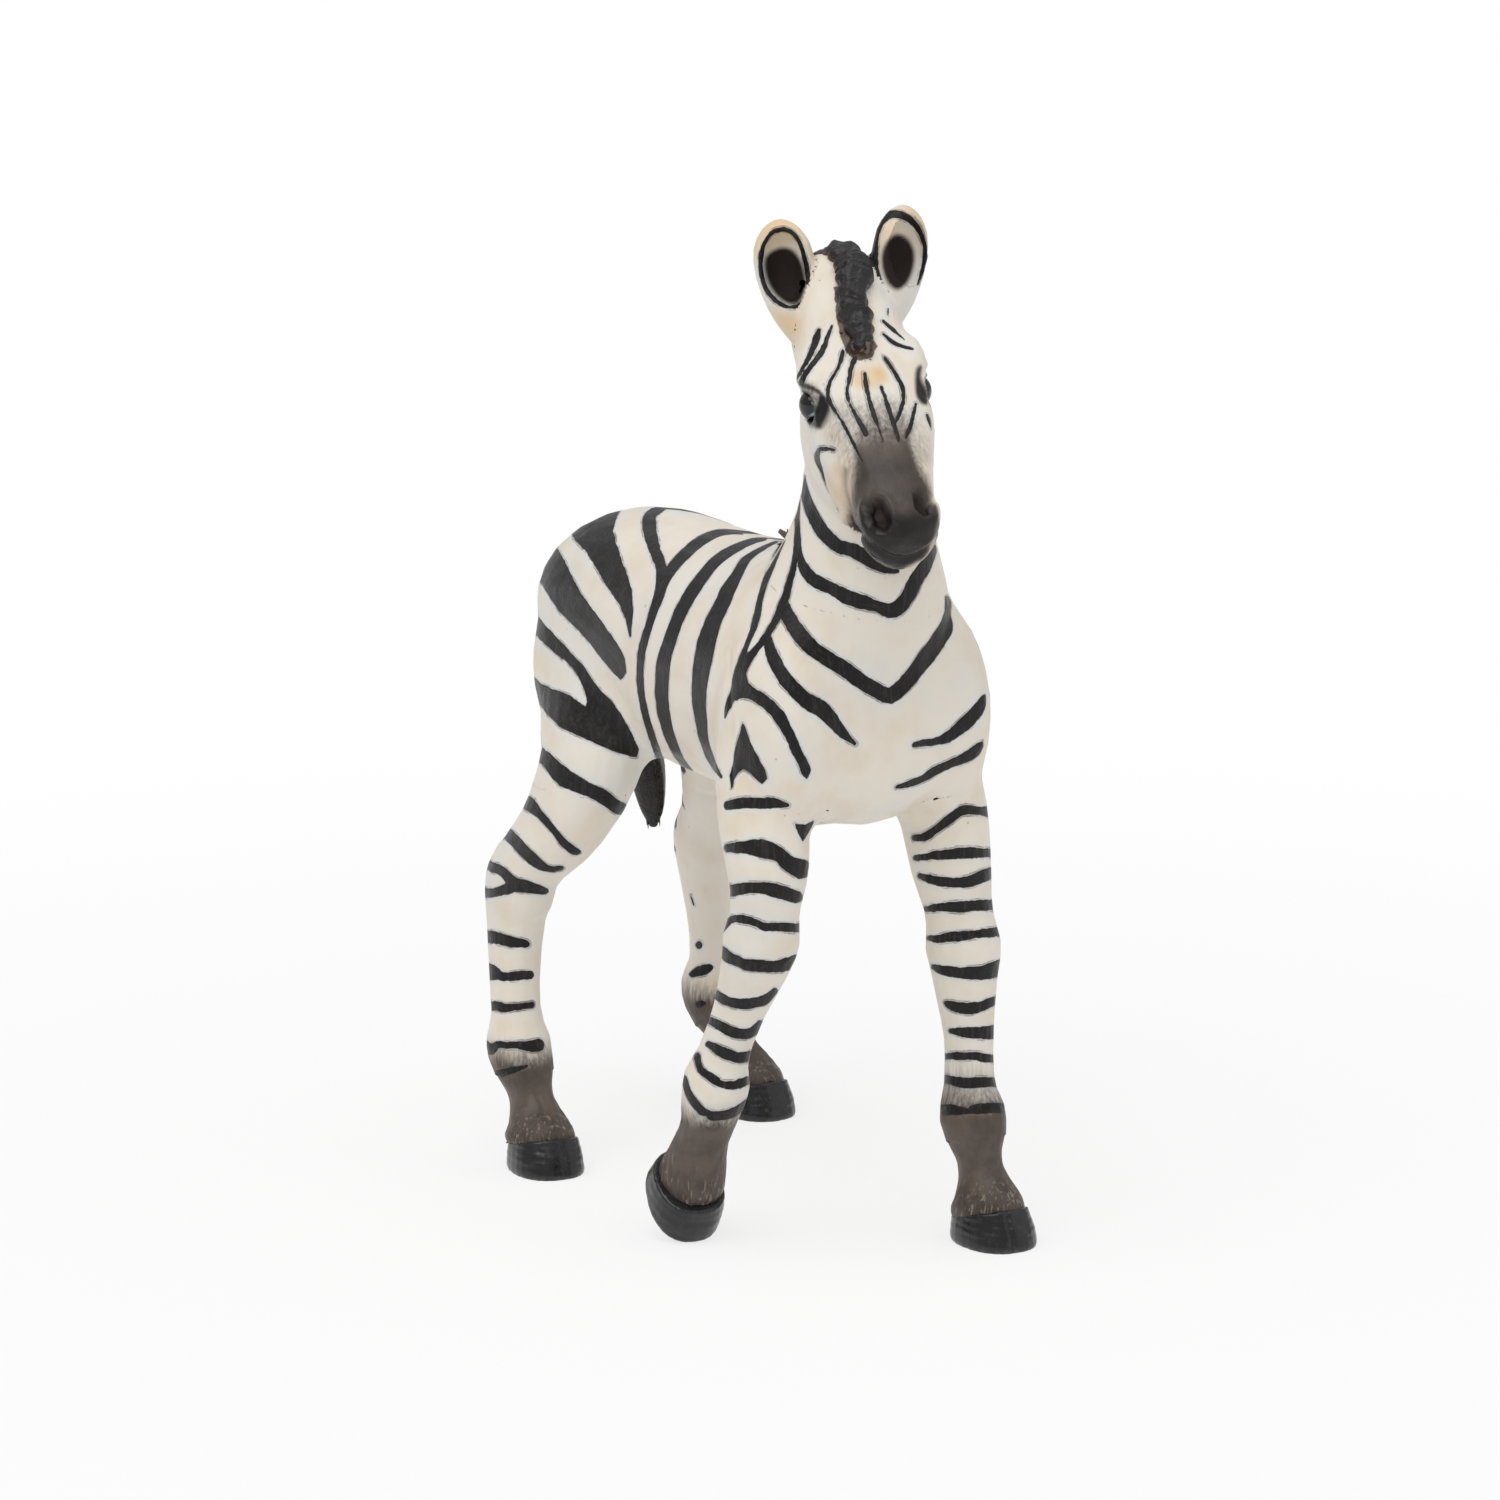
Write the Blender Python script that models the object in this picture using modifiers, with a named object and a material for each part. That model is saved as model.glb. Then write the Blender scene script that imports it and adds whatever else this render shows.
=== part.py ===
"""Zebra foal toy figure, built in metres with +Z up and the animal facing -Y.

One smooth skin is blended from lofted muscle shapes, then cut at the moulding seams into a torso,
a head with neck and four legs. Hooves, ears, eyes, mane, tail and belly pad are pieces of their own,
seated in sockets and grooves that take their sizes from the same values.
"""

import math

import bmesh
import bpy
from mathutils import Matrix, Vector
from mathutils.bvhtree import BVHTree

MM = 0.001

# Driving dimensions of the animal
WITHERS_HEIGHT = 57.0 * MM
BODY_LENGTH = 52.0 * MM
BODY_WIDTH = 19.6 * MM
BODY_DEPTH = 21.0 * MM
STANCE_HALF_WIDTH = 12.5 * MM
NECK_WIDTH = 9.0 * MM
NECK_DEPTH = 15.0 * MM
HEAD_LENGTH = 29.0 * MM
HEAD_WIDTH = 11.2 * MM
HEAD_DEPTH = 12.5 * MM
HEAD_YAW = math.radians(-12.5)
HEAD_PITCH = math.radians(43.0)
HEAD_ROLL = math.radians(-9.0)
LEG_WIDTH = 5.5 * MM
LEG_DEPTH = 5.8 * MM

# Small pieces
HOOF_WIDTH = 6.3 * MM
HOOF_LENGTH = 7.9 * MM
HOOF_HEIGHT = 3.3 * MM
HOOF_TIP_ANGLE = math.radians(50.0)
TOE_FLAT_DEPTH = 0.25 * MM
CORONET_SLOPE = math.radians(14.0)
EAR_HEIGHT = 8.3 * MM
EAR_WIDTH = 4.9 * MM
EAR_DEPTH = 3.4 * MM
EYE_RADIUS = 1.3 * MM
EYE_PROUD = 0.35 * MM
MANE_THICKNESS = 2.8 * MM
MANE_HEIGHT = 2.0 * MM
MANE_SUNK = 0.9 * MM
TAIL_THICKNESS = 2.6 * MM
TAIL_SUNK = 2.2 * MM
PAD_WIDTH = 5.4 * MM
PAD_LENGTH = 11.0 * MM
PAD_THICKNESS = 1.5 * MM
PAD_PROUD = 0.6 * MM
PAD_CORNER_RADIUS = 0.5 * MM

# Seams, pegs and fits
GAP = 0.3 * MM
LEG_PEG_RADIUS = 1.5 * MM
LEG_PEG_LENGTH = 3.0 * MM
HOOF_PEG_RADIUS = 0.8 * MM
HOOF_PEG_LENGTH = 1.2 * MM
NECK_PEG_RADIUS = 2.6 * MM
NECK_PEG_LENGTH = 4.0 * MM
FRONT_SEAM_HEIGHT = 37.6 * MM
HIND_SEAM_HEIGHT = 33.8 * MM
CHEST_SEAM_HALF_WIDTH = 4.2 * MM
OVERRUN = 1.0 * MM

# Skin making
BLEND_VOXEL = 0.7 * MM
BLEND_SMOOTHING = 60
SKIN_VOXEL = 0.5 * MM
SKIN_SMOOTHING = 5
SKIN_KEPT_SHARE = 0.083
RING_SIDES = 24
STEPS_BETWEEN_STATIONS = 5
HEAD_SQUARENESS = 2.2

SOLVERS = ("EXACT", "MANIFOLD")
VOLUME_TOLERANCE = 0.001 * MM**3

# How finely the small pieces are drawn
HOOF_SIDES = 28
HOOF_SQUARENESS = 2.3
PEG_SIDES = 20
HOOF_PEG_SIDES = 12
EAR_SIDES = 14
EAR_STEPS = 2
EYE_SIDES = 14
MANE_SIDES = 10
MANE_STEPS = 4
TAIL_SIDES = 12
TAIL_STEPS = 3
PAD_CORNER_STEPS = 2
SHARP_ANGLE = math.radians(50.0)

# Each station of the body from chest to rump: shares of body length (along), withers height (up),
# body width (half width), body depth (half depth above the centre and below it)
BODY_SHARES = (
    (0.000, 0.812, 0.15, 0.18, 0.18),
    (0.040, 0.807, 0.36, 0.36, 0.38),
    (0.105, 0.800, 0.47, 0.46, 0.49),
    (0.220, 0.807, 0.495, 0.50, 0.52),
    (0.375, 0.818, 0.485, 0.475, 0.53),
    (0.530, 0.820, 0.500, 0.455, 0.55),
    (0.665, 0.833, 0.490, 0.430, 0.53),
    (0.780, 0.847, 0.475, 0.400, 0.46),
    (0.875, 0.842, 0.455, 0.375, 0.40),
    (0.955, 0.828, 0.385, 0.310, 0.34),
    (1.010, 0.812, 0.230, 0.190, 0.21),
)

# Each station of the neck from its base to the poll: shares of body width (sideways), body length
# (fore and aft from the middle), withers height (up), neck width and neck depth (front and crest)
NECK_SHARES = (
    (0.015, -0.310, 0.860, 1.00, 0.64, 0.58),
    (0.030, -0.355, 0.947, 0.84, 0.58, 0.50),
    (0.012, -0.390, 1.053, 0.58, 0.48, 0.40),
    (0.002, -0.400, 1.158, 0.49, 0.42, 0.36),
    (0.000, -0.385, 1.246, 0.46, 0.36, 0.33),
    (-0.010, -0.360, 1.315, 0.40, 0.28, 0.27),
)

# Each station of the head from the poll to the lips: shares of head length (along), head width
# (half width), head depth (above the axis and below it)
HEAD_SHARES = (
    (-0.130, 0.25, 0.18, 0.20),
    (-0.075, 0.34, 0.33, 0.36),
    (0.055, 0.39, 0.37, 0.50),
    (0.170, 0.395, 0.36, 0.58),
    (0.300, 0.425, 0.33, 0.62),
    (0.440, 0.435, 0.28, 0.54),
    (0.580, 0.355, 0.245, 0.39),
    (0.700, 0.290, 0.235, 0.31),
    (0.800, 0.275, 0.200, 0.28),
    (0.860, 0.170, 0.110, 0.18),
)
HEAD_START_SHARES = (-0.020, -0.337, 1.351)

# Places of leg stations: shares of stance half width, body length from the middle, withers height
FRONT_LEFT_SHARES = (
    (0.56, -0.327, 0.754),
    (0.67, -0.362, 0.640),
    (0.71, -0.382, 0.544),
    (0.75, -0.392, 0.474),
    (0.77, -0.398, 0.425),
    (0.78, -0.400, 0.374),
    (0.80, -0.404, 0.295),
    (0.81, -0.404, 0.225),
    (0.82, -0.410, 0.179),
    (0.83, -0.430, 0.111),
    (0.84, -0.446, 0.063),
    (0.84, -0.456, 0.026),
)
FRONT_RIGHT_SHARES = (
    (-0.56, -0.327, 0.754),
    (-0.66, -0.372, 0.649),
    (-0.69, -0.400, 0.575),
    (-0.71, -0.400, 0.514),
    (-0.72, -0.391, 0.467),
    (-0.74, -0.373, 0.421),
    (-0.77, -0.335, 0.351),
    (-0.80, -0.304, 0.288),
    (-0.82, -0.288, 0.242),
    (-0.84, -0.262, 0.172),
    (-0.86, -0.238, 0.119),
    (-0.87, -0.222, 0.077),
)
HIND_LEFT_SHARES = (
    (0.36, 0.318, 0.850),
    (0.52, 0.315, 0.737),
    (0.62, 0.340, 0.640),
    (0.74, 0.405, 0.544),
    (0.82, 0.475, 0.470),
    (0.85, 0.512, 0.417),
    (0.88, 0.524, 0.365),
    (0.93, 0.528, 0.281),
    (0.95, 0.535, 0.220),
    (0.94, 0.535, 0.174),
    (0.98, 0.478, 0.103),
    (1.01, 0.440, 0.061),
    (1.01, 0.420, 0.026),
)
HIND_RIGHT_SHARES = (
    (-0.36, 0.298, 0.850),
    (-0.53, 0.262, 0.737),
    (-0.68, 0.212, 0.640),
    (-0.83, 0.240, 0.544),
    (-0.94, 0.306, 0.474),
    (-0.97, 0.348, 0.421),
    (-0.98, 0.360, 0.368),
    (-1.00, 0.356, 0.281),
    (-1.00, 0.350, 0.221),
    (-1.00, 0.341, 0.174),
    (-1.00, 0.295, 0.104),
    (-1.00, 0.270, 0.061),
    (-1.00, 0.256, 0.026),
)

LEG_PLACES = {
    "front_left": FRONT_LEFT_SHARES,
    "front_right": FRONT_RIGHT_SHARES,
    "hind_left": HIND_LEFT_SHARES,
    "hind_right": HIND_RIGHT_SHARES,
}

# Half thickness of a leg at each station: shares of leg width and leg depth
FRONT_THICKNESS_SHARES = (
    (0.62, 0.90),
    (0.64, 0.76),
    (0.60, 0.60),
    (0.51, 0.49),
    (0.57, 0.55),
    (0.48, 0.48),
    (0.37, 0.40),
    (0.37, 0.42),
    (0.49, 0.53),
    (0.40, 0.42),
    (0.45, 0.48),
    (0.45, 0.48),
)
HIND_THICKNESS_SHARES = (
    (0.58, 1.10),
    (0.66, 1.26),
    (0.70, 1.06),
    (0.62, 0.80),
    (0.48, 0.64),
    (0.49, 0.74),
    (0.43, 0.58),
    (0.39, 0.46),
    (0.39, 0.46),
    (0.51, 0.55),
    (0.41, 0.43),
    (0.46, 0.49),
    (0.46, 0.49),
)

# Muscles that swell the lofts. Places: shares of stance half width, body length, withers height.
# Half sizes: shares of body width, body length and body depth
SHOULDER_PLACE_SHARES = (0.61, -0.376, 0.775)
SHOULDER_SIZE_SHARES = (0.185, 0.135, 0.44)
BREAST_PLACE_SHARES = (0.36, -0.430, 0.765)
BREAST_SIZE_SHARES = (0.19, 0.075, 0.28)
HAUNCH_PLACE_SHARES = (0.44, 0.332, 0.750)
HAUNCH_SIZE_SHARES = (0.25, 0.140, 0.38)

# Muscles of the head. Places: shares of head length, head width and head depth. Half sizes: the same
CHEEK_PLACE_SHARES = (0.36, 0.23, -0.36)
CHEEK_SIZE_SHARES = (0.21, 0.215, 0.33)
BROW_PLACE_SHARES = (0.265, 0.345, 0.14)
BROW_SIZE_SHARES = (0.085, 0.12, 0.13)
NOSTRIL_PLACE_SHARES = (0.765, 0.18, 0.07)
NOSTRIL_SIZE_SHARES = (0.065, 0.105, 0.12)
CHIN_PLACE_SHARES = (0.775, 0.0, -0.21)
CHIN_SIZE_SHARES = (0.075, 0.18, 0.11)

# Places on the head: shares of head length, head width and head depth
EYE_PLACE_SHARES = (0.292, 0.0, 0.01)
EYE_AHEAD_SHARE = 0.30
EAR_PLACE_SHARES = (0.050, 0.0, -0.08)
EAR_RISE_SHARE = 0.32
EAR_LEAN = math.radians(7.0)
EAR_TURN = math.radians(16.0)
EAR_BACK_TILT = math.radians(-4.0)

# Hoof places: shares of stance half width and body length, of the middle of the sole, and turns
HOOF_PLACE_SHARES = {
    "front_left": (0.84, -0.470),
    "front_right": (-0.87, -0.176),
    "hind_left": (1.01, 0.404),
    "hind_right": (-1.00, 0.242),
}
HOOF_TURNS = {
    "front_left": math.radians(4.0),
    "front_right": math.radians(-6.0),
    "hind_left": math.radians(6.0),
    "hind_right": math.radians(-4.0),
}

# The seam between torso and neck passes through these two places: body width, length, withers height
WITHERS_SEAM_SHARES = (0.0, -0.190, 0.990)
BREAST_SEAM_SHARES = (0.0, -0.530, 0.925)

# The spaces of the legs end here, as shares of body length from the middle, and the front one leans
# back going down, by this share of its height
FRONT_LEG_BACK_SHARE = -0.265
FRONT_LEG_LEAN_SHARE = 0.30
HIND_LEG_AHEAD_SHARE = -0.10

# The coronet crosses a hoof here, as a share of hoof height, and its cutters reach past the hoof
CORONET_HEIGHT_SHARE = 0.85
CORONET_REACH_SHARE = 1.2

# Rings of a hoof from the sole up: shares of hoof height, half width, half length and shift back
HOOF_RING_SHARES = (
    (0.00, 0.485, 0.485, 0.00),
    (0.10, 0.500, 0.500, 0.00),
    (0.45, 0.485, 0.475, 0.02),
    (0.85, 0.445, 0.425, 0.05),
    (1.25, 0.415, 0.385, 0.08),
)

# The crest of the mane from forelock to withers, before it is laid on the skin: shares of body
# width, body length and withers height, then of mane thickness (half of it) and mane height
MANE_SHARES = (
    (-0.150, -0.480, 1.290, 0.30, 0.40),
    (-0.095, -0.430, 1.350, 0.44, 0.55),
    (-0.035, -0.370, 1.398, 0.50, 0.62),
    (-0.010, -0.300, 1.395, 0.50, 0.66),
    (0.000, -0.250, 1.320, 0.44, 0.80),
    (0.005, -0.240, 1.220, 0.40, 0.90),
    (0.010, -0.235, 1.120, 0.38, 0.85),
    (0.005, -0.205, 1.040, 0.32, 0.70),
    (0.000, -0.150, 0.992, 0.20, 0.40),
)
MANE_TUFTS = 10
MANE_TUFT_SHARE = 0.10

# The tail from inside the rump to the tip of the tuft: shares of body width, body length and
# withers height, and its half thickness as a share of tail thickness
TAIL_FRONT = Vector((0.0, 1.0, 0.5))
TAIL_SHARES = (
    (0.000, 0.500, 0.905, 0.40),
    (0.020, 0.545, 0.880, 0.46),
    (0.080, 0.584, 0.800, 0.42),
    (0.190, 0.592, 0.700, 0.40),
    (0.290, 0.590, 0.610, 0.52),
    (0.330, 0.586, 0.535, 0.66),
    (0.350, 0.582, 0.475, 0.44),
    (0.355, 0.580, 0.440, 0.12),
)

# Rings of an ear from its root to its tip: shares of ear height, width and depth (half sizes), then
# how far the ring stands towards the middle of the head, as a share of ear width
EAR_RING_SHARES = (
    (-0.14, 0.39, 0.42, 0.39),
    (0.06, 0.46, 0.48, 0.25),
    (0.26, 0.49, 0.50, 0.12),
    (0.52, 0.50, 0.48, 0.02),
    (0.75, 0.46, 0.41, 0.00),
    (0.90, 0.32, 0.29, 0.00),
    (0.97, 0.18, 0.17, 0.00),
    (1.00, 0.06, 0.06, 0.00),
)
EAR_SCOOP_PLACE_SHARES = (0.57, 0.42)
EAR_SCOOP_SIZE_SHARES = (0.40, 0.62, 0.36)

# The belly pad's middle, as shares of body length and of body depth inside the body
PAD_PLACE_SHARE = -0.215

SIDES = (("left", 1.0), ("right", -1.0))

MATERIALS = {
    "coat_white": ((0.82, 0.79, 0.74, 1.0), 0.45),
    "mane_black": ((0.035, 0.030, 0.030, 1.0), 0.60),
    "hoof_black": ((0.020, 0.020, 0.024, 1.0), 0.25),
    "eye_black": ((0.010, 0.009, 0.010, 1.0), 0.10),
}


def clear_scene():
    """Remove whatever the scene holds."""
    for item in list(bpy.data.objects):
        bpy.data.objects.remove(item, do_unlink=True)


def new_collection(name):
    """A collection linked to the scene."""
    made = bpy.data.collections.new(name)
    bpy.context.scene.collection.children.link(made)
    return made


def new_material(name, finish):
    """A Principled material named for one piece, in one of the finishes."""
    colour, roughness = MATERIALS[finish]
    made = bpy.data.materials.new(name + "_finish")
    made.use_nodes = True
    shader = made.node_tree.nodes["Principled BSDF"]
    shader.inputs["Base Color"].default_value = colour
    shader.inputs["Roughness"].default_value = roughness
    shader.inputs["Metallic"].default_value = 0.0
    made.diffuse_color = colour
    return made


def mesh_object(name, bm, collection):
    """Turn a bmesh into an object of a collection, with its faces pointing out."""
    bmesh.ops.recalc_face_normals(bm, faces=bm.faces)
    mesh = bpy.data.meshes.new(name)
    bm.to_mesh(mesh)
    bm.free()
    made = bpy.data.objects.new(name, mesh)
    collection.objects.link(made)
    return made


def make_helper(item):
    """Mark a cutter or a guide, which is no piece of the figure."""
    item.hide_render = True
    item.display_type = "WIRE"
    return item


def apply_modifiers(item):
    """Replace an object's mesh by its evaluated one and drop its modifiers."""
    graph = bpy.context.evaluated_depsgraph_get()
    graph.update()
    mesh = bpy.data.meshes.new_from_object(item.evaluated_get(graph))
    item.modifiers.clear()
    item.data = mesh


def volume_of(mesh):
    """The volume inside a mesh, or zero where an edge lacks a face."""
    bm = bmesh.new()
    bm.from_mesh(mesh)
    closed = all(len(edge.link_faces) == 2 for edge in bm.edges)
    volume = bm.calc_volume() if closed else 0.0
    bm.free()
    return volume


def boolean(item, other, operation):
    """Cut, join or keep the common part of two meshes, with the next solver where one fails."""
    before = item.data
    mine, others = volume_of(before), volume_of(other.data)
    low, high = {
        "DIFFERENCE": (mine - others, mine),
        "UNION": (max(mine, others), mine + others),
        "INTERSECT": (0.0, min(mine, others)),
    }[operation]
    for solver in SOLVERS:
        item.data = before
        step = item.modifiers.new(operation.lower(), "BOOLEAN")
        step.operation = operation
        step.solver = solver
        step.object = other
        apply_modifiers(item)
        if low - VOLUME_TOLERANCE < volume_of(item.data) < high - VOLUME_TOLERANCE:
            return


def between(rows, steps):
    """Rows of numbers on a smooth curve through the given rows."""
    rows = [Vector(row) for row in rows]
    first = rows[0] * 2 - rows[1]
    last = rows[-1] * 2 - rows[-2]
    padded = [first] + rows + [last]
    made = []
    for index in range(1, len(padded) - 2):
        before, here, there, after = padded[index - 1 : index + 3]
        for step in range(steps):
            t = step / steps
            made.append(
                0.5
                * (
                    here * 2
                    + (there - before) * t
                    + (before * 2 - here * 5 + there * 4 - after) * t * t
                    + (here * 3 - before - there * 3 + after) * t * t * t
                )
            )
    made.append(rows[-1])
    return made


def loft(name, rows, front, collection, sides=RING_SIDES, power=2.0, level=False):
    """Skin rings along a spine. A row holds the centre, half width and half depth in front and behind.

    Front is the way the first depth points, once for all rings or in a list with one for each. Rings
    stand square to the spine, or lie level.
    """
    bm = bmesh.new()
    centres = [Vector(row[0:3]) for row in rows]
    rings = []
    for index, row in enumerate(rows):
        ahead = centres[min(index + 1, len(rows) - 1)]
        behind = centres[max(index - 1, 0)]
        along = Vector((0.0, 0.0, 1.0)) if level else (ahead - behind).normalized()
        wanted = front[index] if isinstance(front, list) else front
        forward = (wanted - along * wanted.dot(along)).normalized()
        side = forward.cross(along)
        ring = []
        for corner in range(sides):
            angle = math.tau * corner / sides
            across, deep = math.cos(angle), math.sin(angle)
            across = math.copysign(abs(across) ** (2.0 / power), across)
            deep = math.copysign(abs(deep) ** (2.0 / power), deep)
            depth = row[4] if deep > 0 else row[5]
            ring.append(bm.verts.new(centres[index] + side * across * row[3] + forward * deep * depth))
        rings.append(ring)
    for lower, upper in zip(rings, rings[1:]):
        for corner in range(sides):
            after = (corner + 1) % sides
            bm.faces.new((lower[corner], lower[after], upper[after], upper[corner]))
    bm.faces.new(list(reversed(rings[0])))
    bm.faces.new(rings[-1])
    return mesh_object(name, bm, collection)


def ellipsoid(name, centre, half_sizes, turn, collection, sides=20):
    """A muscle as a stretched sphere."""
    bm = bmesh.new()
    bmesh.ops.create_uvsphere(bm, u_segments=sides, v_segments=sides // 2, radius=1.0)
    place = Matrix.Translation(centre) @ turn.to_4x4() @ Matrix.Diagonal((*half_sizes, 1.0))
    bmesh.ops.transform(bm, matrix=place, verts=bm.verts)
    return mesh_object(name, bm, collection)


def box(name, low, high, place, collection):
    """A box between two corners of its own frame, then placed."""
    bm = bmesh.new()
    bmesh.ops.create_cube(bm, size=1.0)
    size = high - low
    middle = Matrix.Translation((low + high) / 2) @ Matrix.Diagonal((*size, 1.0))
    bmesh.ops.transform(bm, matrix=place @ middle, verts=bm.verts)
    return mesh_object(name, bm, collection)


def cylinder(name, radius, start, end, collection, sides=PEG_SIDES):
    """A round bar from start to end."""
    axis = end - start
    turn = axis.to_track_quat("Z", "Y").to_matrix().to_4x4()
    bm = bmesh.new()
    bmesh.ops.create_cone(
        bm, cap_ends=True, segments=sides, radius1=radius, radius2=radius, depth=axis.length
    )
    bmesh.ops.transform(bm, matrix=Matrix.Translation((start + end) / 2) @ turn, verts=bm.verts)
    return mesh_object(name, bm, collection)


def copy_of(item, name, collection):
    """A separate object with its own copy of a mesh."""
    made = bpy.data.objects.new(name, item.data.copy())
    collection.objects.link(made)
    return made


def body_point(shares):
    """A place given by shares of stance half width, body length and withers height."""
    return Vector((shares[0] * STANCE_HALF_WIDTH, shares[1] * BODY_LENGTH, shares[2] * WITHERS_HEIGHT))


def crest_point(shares):
    """A place near the middle of the body, given by shares of body width, length and withers height."""
    return Vector((shares[0] * BODY_WIDTH, shares[1] * BODY_LENGTH, shares[2] * WITHERS_HEIGHT))


def mirrored(shares):
    """The same place on the other side of the animal."""
    return (-shares[0], *shares[1:])


def head_turn():
    """Columns are the head's side, muzzle and forehead directions."""
    pitch = Matrix.Rotation(HEAD_PITCH, 3, "X")
    yaw = Matrix.Rotation(HEAD_YAW, 3, "Z")
    roll = Matrix.Rotation(HEAD_ROLL, 3, "Y")
    turned = yaw @ pitch @ roll
    side = turned @ Vector((1.0, 0.0, 0.0))
    muzzle = turned @ Vector((0.0, -1.0, 0.0))
    forehead = turned @ Vector((0.0, 0.0, 1.0))
    return Matrix((side, muzzle, forehead)).transposed()


def head_point(shares, side=1.0):
    """A place given by shares of head length, width and depth, on one side of the head."""
    local = Vector((side * shares[1] * HEAD_WIDTH, shares[0] * HEAD_LENGTH, shares[2] * HEAD_DEPTH))
    return crest_point(HEAD_START_SHARES) + head_turn() @ local


def body_loft(collection):
    """The barrel from chest to rump."""
    rows = []
    for along, up, wide, above, below in BODY_SHARES:
        place = crest_point((0.0, along - 0.5, up))
        rows.append((*place, wide * BODY_WIDTH, above * BODY_DEPTH, below * BODY_DEPTH))
    return loft("barrel", between(rows, STEPS_BETWEEN_STATIONS), Vector((0.0, 0.0, 1.0)), collection)


def neck_loft(collection):
    """The neck from inside the shoulders to the poll."""
    rows = []
    for aside, along, up, wide, front, crest in NECK_SHARES:
        place = crest_point((aside, along, up))
        rows.append((*place, wide * NECK_WIDTH, front * NECK_DEPTH, crest * NECK_DEPTH))
    return loft("neck", between(rows, STEPS_BETWEEN_STATIONS), Vector((0.0, -1.0, 0.0)), collection)


def head_loft(collection):
    """The head from the back of the skull to the lips."""
    rows = []
    for along, wide, above, below in HEAD_SHARES:
        place = head_point((along, 0.0, 0.0))
        rows.append((*place, wide * HEAD_WIDTH, above * HEAD_DEPTH, below * HEAD_DEPTH))
    forehead = head_turn().col[2]
    return loft("skull", between(rows, STEPS_BETWEEN_STATIONS), forehead, collection, power=HEAD_SQUARENESS)


def leg_loft(name, places, thickness, collection):
    """One leg from inside the body to inside its hoof."""
    rows = []
    for place, (wide, deep) in zip(places, thickness):
        depth = deep * LEG_DEPTH
        rows.append((*body_point(place), wide * LEG_WIDTH, depth, depth))
    return loft(name, between(rows, STEPS_BETWEEN_STATIONS), Vector((0.0, -1.0, 0.0)), collection)


def body_muscles(collection):
    """The soft swellings of shoulders, breast and haunches."""
    made = []
    for name, place, size in (
        ("shoulder", SHOULDER_PLACE_SHARES, SHOULDER_SIZE_SHARES),
        ("breast", BREAST_PLACE_SHARES, BREAST_SIZE_SHARES),
        ("haunch", HAUNCH_PLACE_SHARES, HAUNCH_SIZE_SHARES),
    ):
        half = (size[0] * BODY_WIDTH, size[1] * BODY_LENGTH, size[2] * BODY_DEPTH)
        for shares in (place, mirrored(place)):
            made.append(ellipsoid(name, body_point(shares), half, Matrix.Identity(3), collection))
    return made


def head_muscles(collection):
    """The firm forms of cheeks, brows, nostrils and chin."""
    made = []
    for name, place, size in (
        ("cheek", CHEEK_PLACE_SHARES, CHEEK_SIZE_SHARES),
        ("brow", BROW_PLACE_SHARES, BROW_SIZE_SHARES),
        ("nostril", NOSTRIL_PLACE_SHARES, NOSTRIL_SIZE_SHARES),
        ("chin", CHIN_PLACE_SHARES, CHIN_SIZE_SHARES),
    ):
        half = (size[1] * HEAD_WIDTH, size[0] * HEAD_LENGTH, size[2] * HEAD_DEPTH)
        for side in (1.0, -1.0):
            made.append(ellipsoid(name, head_point(place, side), half, head_turn(), collection))
    return made


def remesh(item, voxel, smoothing):
    """Make one smooth surface of all that an object holds."""
    blend = item.modifiers.new("blend", "REMESH")
    blend.mode = "VOXEL"
    blend.voxel_size = voxel
    smooth = item.modifiers.new("smooth", "SMOOTH")
    smooth.factor = 0.5
    smooth.iterations = smoothing
    apply_modifiers(item)


def joined(shapes):
    """All the faces of some objects in one bmesh."""
    made = bmesh.new()
    for shape in shapes:
        made.from_mesh(shape.data)
    return made


def blended_skin(collection):
    """Fillet all shapes into one surface, add the firm ones again as they were and thin it out."""
    firm = [body_loft(collection), neck_loft(collection), head_loft(collection)]
    firm += head_muscles(collection)
    for leg, places in LEG_PLACES.items():
        thickness = FRONT_THICKNESS_SHARES if leg.startswith("front") else HIND_THICKNESS_SHARES
        firm.append(leg_loft(leg + "_loft", places, thickness, collection))
    soft = body_muscles(collection)
    filleted = mesh_object("filleted", joined(firm + soft), collection)
    remesh(filleted, BLEND_VOXEL, BLEND_SMOOTHING)
    skin = mesh_object("skin", joined(firm + [filleted]), collection)
    for shape in [*firm, *soft, filleted]:
        bpy.data.objects.remove(shape, do_unlink=True)
    remesh(skin, SKIN_VOXEL, SKIN_SMOOTHING)
    thin = skin.modifiers.new("thin", "DECIMATE")
    thin.ratio = SKIN_KEPT_SHARE
    apply_modifiers(skin)
    return make_helper(skin)


def tree_of(item):
    """A search tree of an object's surface."""
    corners = [vertex.co for vertex in item.data.vertices]
    faces = [face.vertices for face in item.data.polygons]
    return BVHTree.FromPolygons(corners, faces)


def out_to_skin(tree, inside, direction):
    """Where a straight line from inside the animal leaves its skin."""
    place = tree.ray_cast(inside, direction)[0]
    return place if place else inside


def seam_frame(centre, direction):
    """A frame at a seam whose +Z runs along a direction."""
    turn = direction.to_track_quat("Z", "Y").to_matrix().to_4x4()
    return Matrix.Translation(centre) @ turn


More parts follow.
